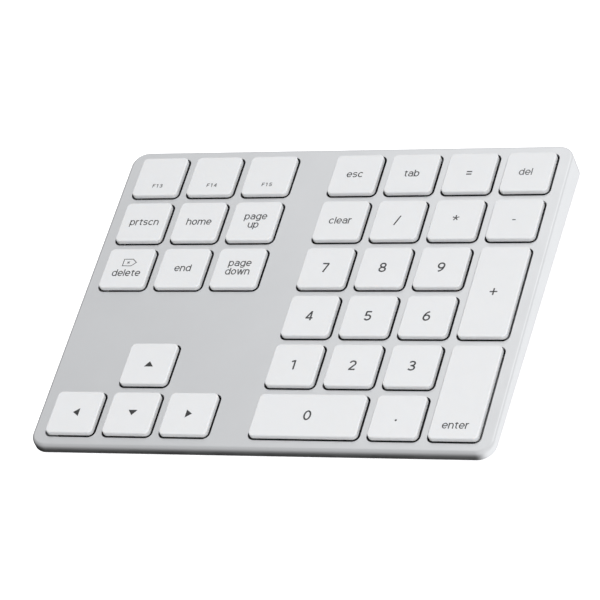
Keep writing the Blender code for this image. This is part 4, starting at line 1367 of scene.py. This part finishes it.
def build_pairing_button():
    """A round button with a shallow dish, and the flange that keeps it in."""
    low, high = deck_box("pairing_button")
    flange_radius = (high.x - low.x) / 2
    flange_front = REAR_FACE - CASE_WALL - MOVING_GAP
    profile = [(flange_radius, low.y), (flange_radius, flange_front), (PAIRING_RADIUS, flange_front)]
    profile += [(PAIRING_RADIUS - inset, high.y - drop) for inset, drop in fillet(0.25 * MM, 5)]
    for step in range(1, 6):
        outward = 1 - step / 6
        profile.append((PAIRING_DISH_RADIUS * outward, high.y - PAIRING_DISH_DEPTH * (1 - outward ** 2)))
    finish = moulded_plastic("button_plastic", (0.60, 0.61, 0.63), 0.4, 0.12 * MM)
    piece(
        "pairing_cap", lofted(turned_upright(profile, PAIRING_CENTRE)), finish,
        "pairing_button", stands_for=["pairing_button"],
    )


def build_board():
    """The laminate with its parts: a connector, chips and the indicator's lamp."""
    low, high = deck_box("controller_board")
    laminate = rounded_outline(high.x - low.x, high.y - low.y, 0.4 * MM, 3)
    centre = ((low.x + high.x) / 2, (low.y + high.y) / 2)
    rings = stacked(laminate, ((0.0, low.z), (0.0, BOARD_TOP)), centre)
    mask = solder_mask()
    piece("board_laminate", lofted(rings), mask, stands_for=["controller_board"])

    foot = BOARD_TOP - SOLDER_DEPTH
    parts = []
    for x, y, width, depth, height in CHIPS:
        corner = Vector((x - width / 2, y - depth / 2, 0.0)) * MM
        start = Vector((corner.x, centre[1] + corner.y, foot))
        parts.append(chip(start, start + Vector((width, depth, height)) * MM, 0.15 * MM))
    black = moulded_plastic("chip_epoxy", (0.018, 0.018, 0.019), 0.5, 0.1 * MM)
    piece("board_chips", lofted(*parts), black)

    ribbon_low, ribbon_high = deck_box("ribbon_cable")
    start = (ribbon_low.x, low.y + 1.0 * MM, foot)
    end = (ribbon_high.x, low.y + 3.6 * MM, BOARD_TOP + 1.2 * MM)
    lamp_x = LED_CENTRE[0]
    lamp = chip(
        (lamp_x - 0.8 * MM, high.y - 2.0 * MM, foot),
        (lamp_x + 0.8 * MM, high.y - 0.8 * MM, BOARD_TOP + 1.9 * MM),
        0.15 * MM,
    )
    cream = moulded_plastic("connector_plastic", (0.72, 0.70, 0.64), 0.45, 0.12 * MM)
    piece("board_connector", lofted(chip(start, end, 0.2 * MM), lamp), cream)


def finish_cad_nodes():
    """Materials for the CAD shapes that stay."""
    black = moulded_plastic("switch_plastic", (0.02, 0.02, 0.021), 0.5, 0.12 * MM)
    finishes = {
        "support_plate": steel("plate_steel", (0.52, 0.53, 0.54), 0.35, (0.15, 1.0, 1.0)),
        "membrane_sheet": printed_film(),
        "ribbon_cable": polyimide(),
        "battery_cell": foil(),
        "battery_foam_pad": foam(),
        "power_switch_housing": black,
        "pairing_switch": black,
    }
    bar = steel("bar_steel", (0.58, 0.58, 0.59), 0.22)
    for name in ("stabiliser_0", "stabiliser_enter", "stabiliser_plus"):
        finishes[name] = bar
    for name, finish in finishes.items():
        data = frame["nodes"][name].data
        data.materials.clear()
        data.materials.append(finish)


# Studio


def build_world():
    """A pale room that grows brighter to the right, and dark below the horizon on the left."""
    world = bpy.data.worlds.new("studio")
    bpy.context.scene.world = world
    world.use_nodes = True
    tree = world.node_tree
    coordinates = tree.nodes.new("ShaderNodeTexCoord")
    side = tree.nodes.new("ShaderNodeVectorMath")
    side.operation = "DOT_PRODUCT"
    side.inputs[1].default_value = BRIGHT_SIDE
    tree.links.new(coordinates.outputs["Generated"], side.inputs[0])
    split = tree.nodes.new("ShaderNodeSeparateXYZ")
    tree.links.new(coordinates.outputs["Generated"], split.inputs[0])

    def graded(value, limits, start, end):
        made = tree.nodes.new("ShaderNodeMapRange")
        made.interpolation_type = "SMOOTHSTEP"
        for socket, number in zip(("From Min", "From Max", "To Min", "To Max"), (*limits, start, end)):
            made.inputs[socket].default_value = number
        tree.links.new(value, made.inputs["Value"])
        return made.outputs["Result"]

    sky = graded(side.outputs["Value"], SKY_CHANGE, SKY_DARK, SKY_BRIGHT)
    ground = graded(side.outputs["Value"], GROUND_CHANGE, GROUND_DARK, GROUND_BRIGHT)
    above = graded(split.outputs["Z"], HORIZON, 0.0, 1.0)
    blend = tree.nodes.new("ShaderNodeMix")
    tree.links.new(above, blend.inputs["Factor"])
    tree.links.new(ground, blend.inputs["A"])
    tree.links.new(sky, blend.inputs["B"])
    tree.links.new(blend.outputs["Result"], tree.nodes["Background"].inputs["Strength"])
    tree.nodes["Background"].inputs["Color"].default_value = ROOM_COLOUR


def softbox(name, place, width, depth, power, glossy):
    """A rectangular light that points at the middle of the keypad's footprint."""
    light = bpy.data.lights.new(name, "AREA")
    light.shape = "RECTANGLE"
    light.size = width
    light.size_y = depth
    light.energy = power
    holder = bpy.data.objects.new(name, light)
    bpy.context.scene.collection.objects.link(holder)
    holder.location = place
    holder.visible_glossy = glossy
    holder.rotation_euler = (-Vector(place)).to_track_quat("-Z", "Y").to_euler()


def build_floor():
    """A pale sweep. It lets the camera through from below."""
    mesh = bmesh.new()
    corners = [(x * FLOOR_HALF, y * FLOOR_HALF) for x, y in ((1, 1), (-1, 1), (-1, -1), (1, -1))]
    mesh.faces.new([mesh.verts.new((x, y, 0.0)) for x, y in corners])
    floor = new_object("floor", mesh)
    made = Finish("floor_white", (0.93, 0.93, 0.93), 0.6)
    made.tint(0.3, 0.004).polish(0.2, 0.55, 0.65)
    made.set("Emission Color", (1.0, 1.0, 1.0, 1.0)).set("Emission Strength", 0.70)
    facing = made.tree.nodes.new("ShaderNodeNewGeometry")
    clear = made.tree.nodes.new("ShaderNodeBsdfTransparent")
    either = made.tree.nodes.new("ShaderNodeMixShader")
    made.link(facing.outputs["Backfacing"], either, 0)
    made.link(made.shader.outputs["BSDF"], either, 1)
    made.link(clear.outputs["BSDF"], either, 2)
    made.link(either.outputs["Shader"], made.tree.nodes["Material Output"], "Surface")
    floor.data.materials.append(made.material)
    floor.visible_glossy = False
    floor.visible_diffuse = False


def build_camera():
    """The view from the front right, with the camera rolled so that the keypad leans to the left."""
    target = DECK @ LOOK_AT
    back = Vector((
        math.sin(CAMERA_AZIMUTH) * math.cos(CAMERA_ELEVATION),
        -math.cos(CAMERA_AZIMUTH) * math.cos(CAMERA_ELEVATION),
        math.sin(CAMERA_ELEVATION),
    ))
    level = (-back).to_track_quat("-Z", "Y").to_matrix().to_4x4()
    lens = bpy.data.cameras.new("camera")
    lens.lens = CAMERA_LENS
    lens.clip_start = 0.01
    camera = bpy.data.objects.new("camera", lens)
    bpy.context.scene.collection.objects.link(camera)
    place = Matrix.Translation(target + back * CAMERA_DISTANCE)
    camera.matrix_world = place @ level @ Matrix.Rotation(-CAMERA_ROLL, 4, "Z")
    bpy.context.scene.camera = camera


build_case()
build_keycaps()
build_legends()
build_key_works()
build_dome_sheet()
build_base_cover()
build_feet()
build_screws()
build_usb_port()
build_light_pipe()
build_power_slider()
build_pairing_button()
build_board()
finish_cad_nodes()
build_world()
for settings in SOFTBOXES:
    softbox(*settings)
build_floor()
build_camera()
bpy.context.scene.view_settings.view_transform = "Standard"
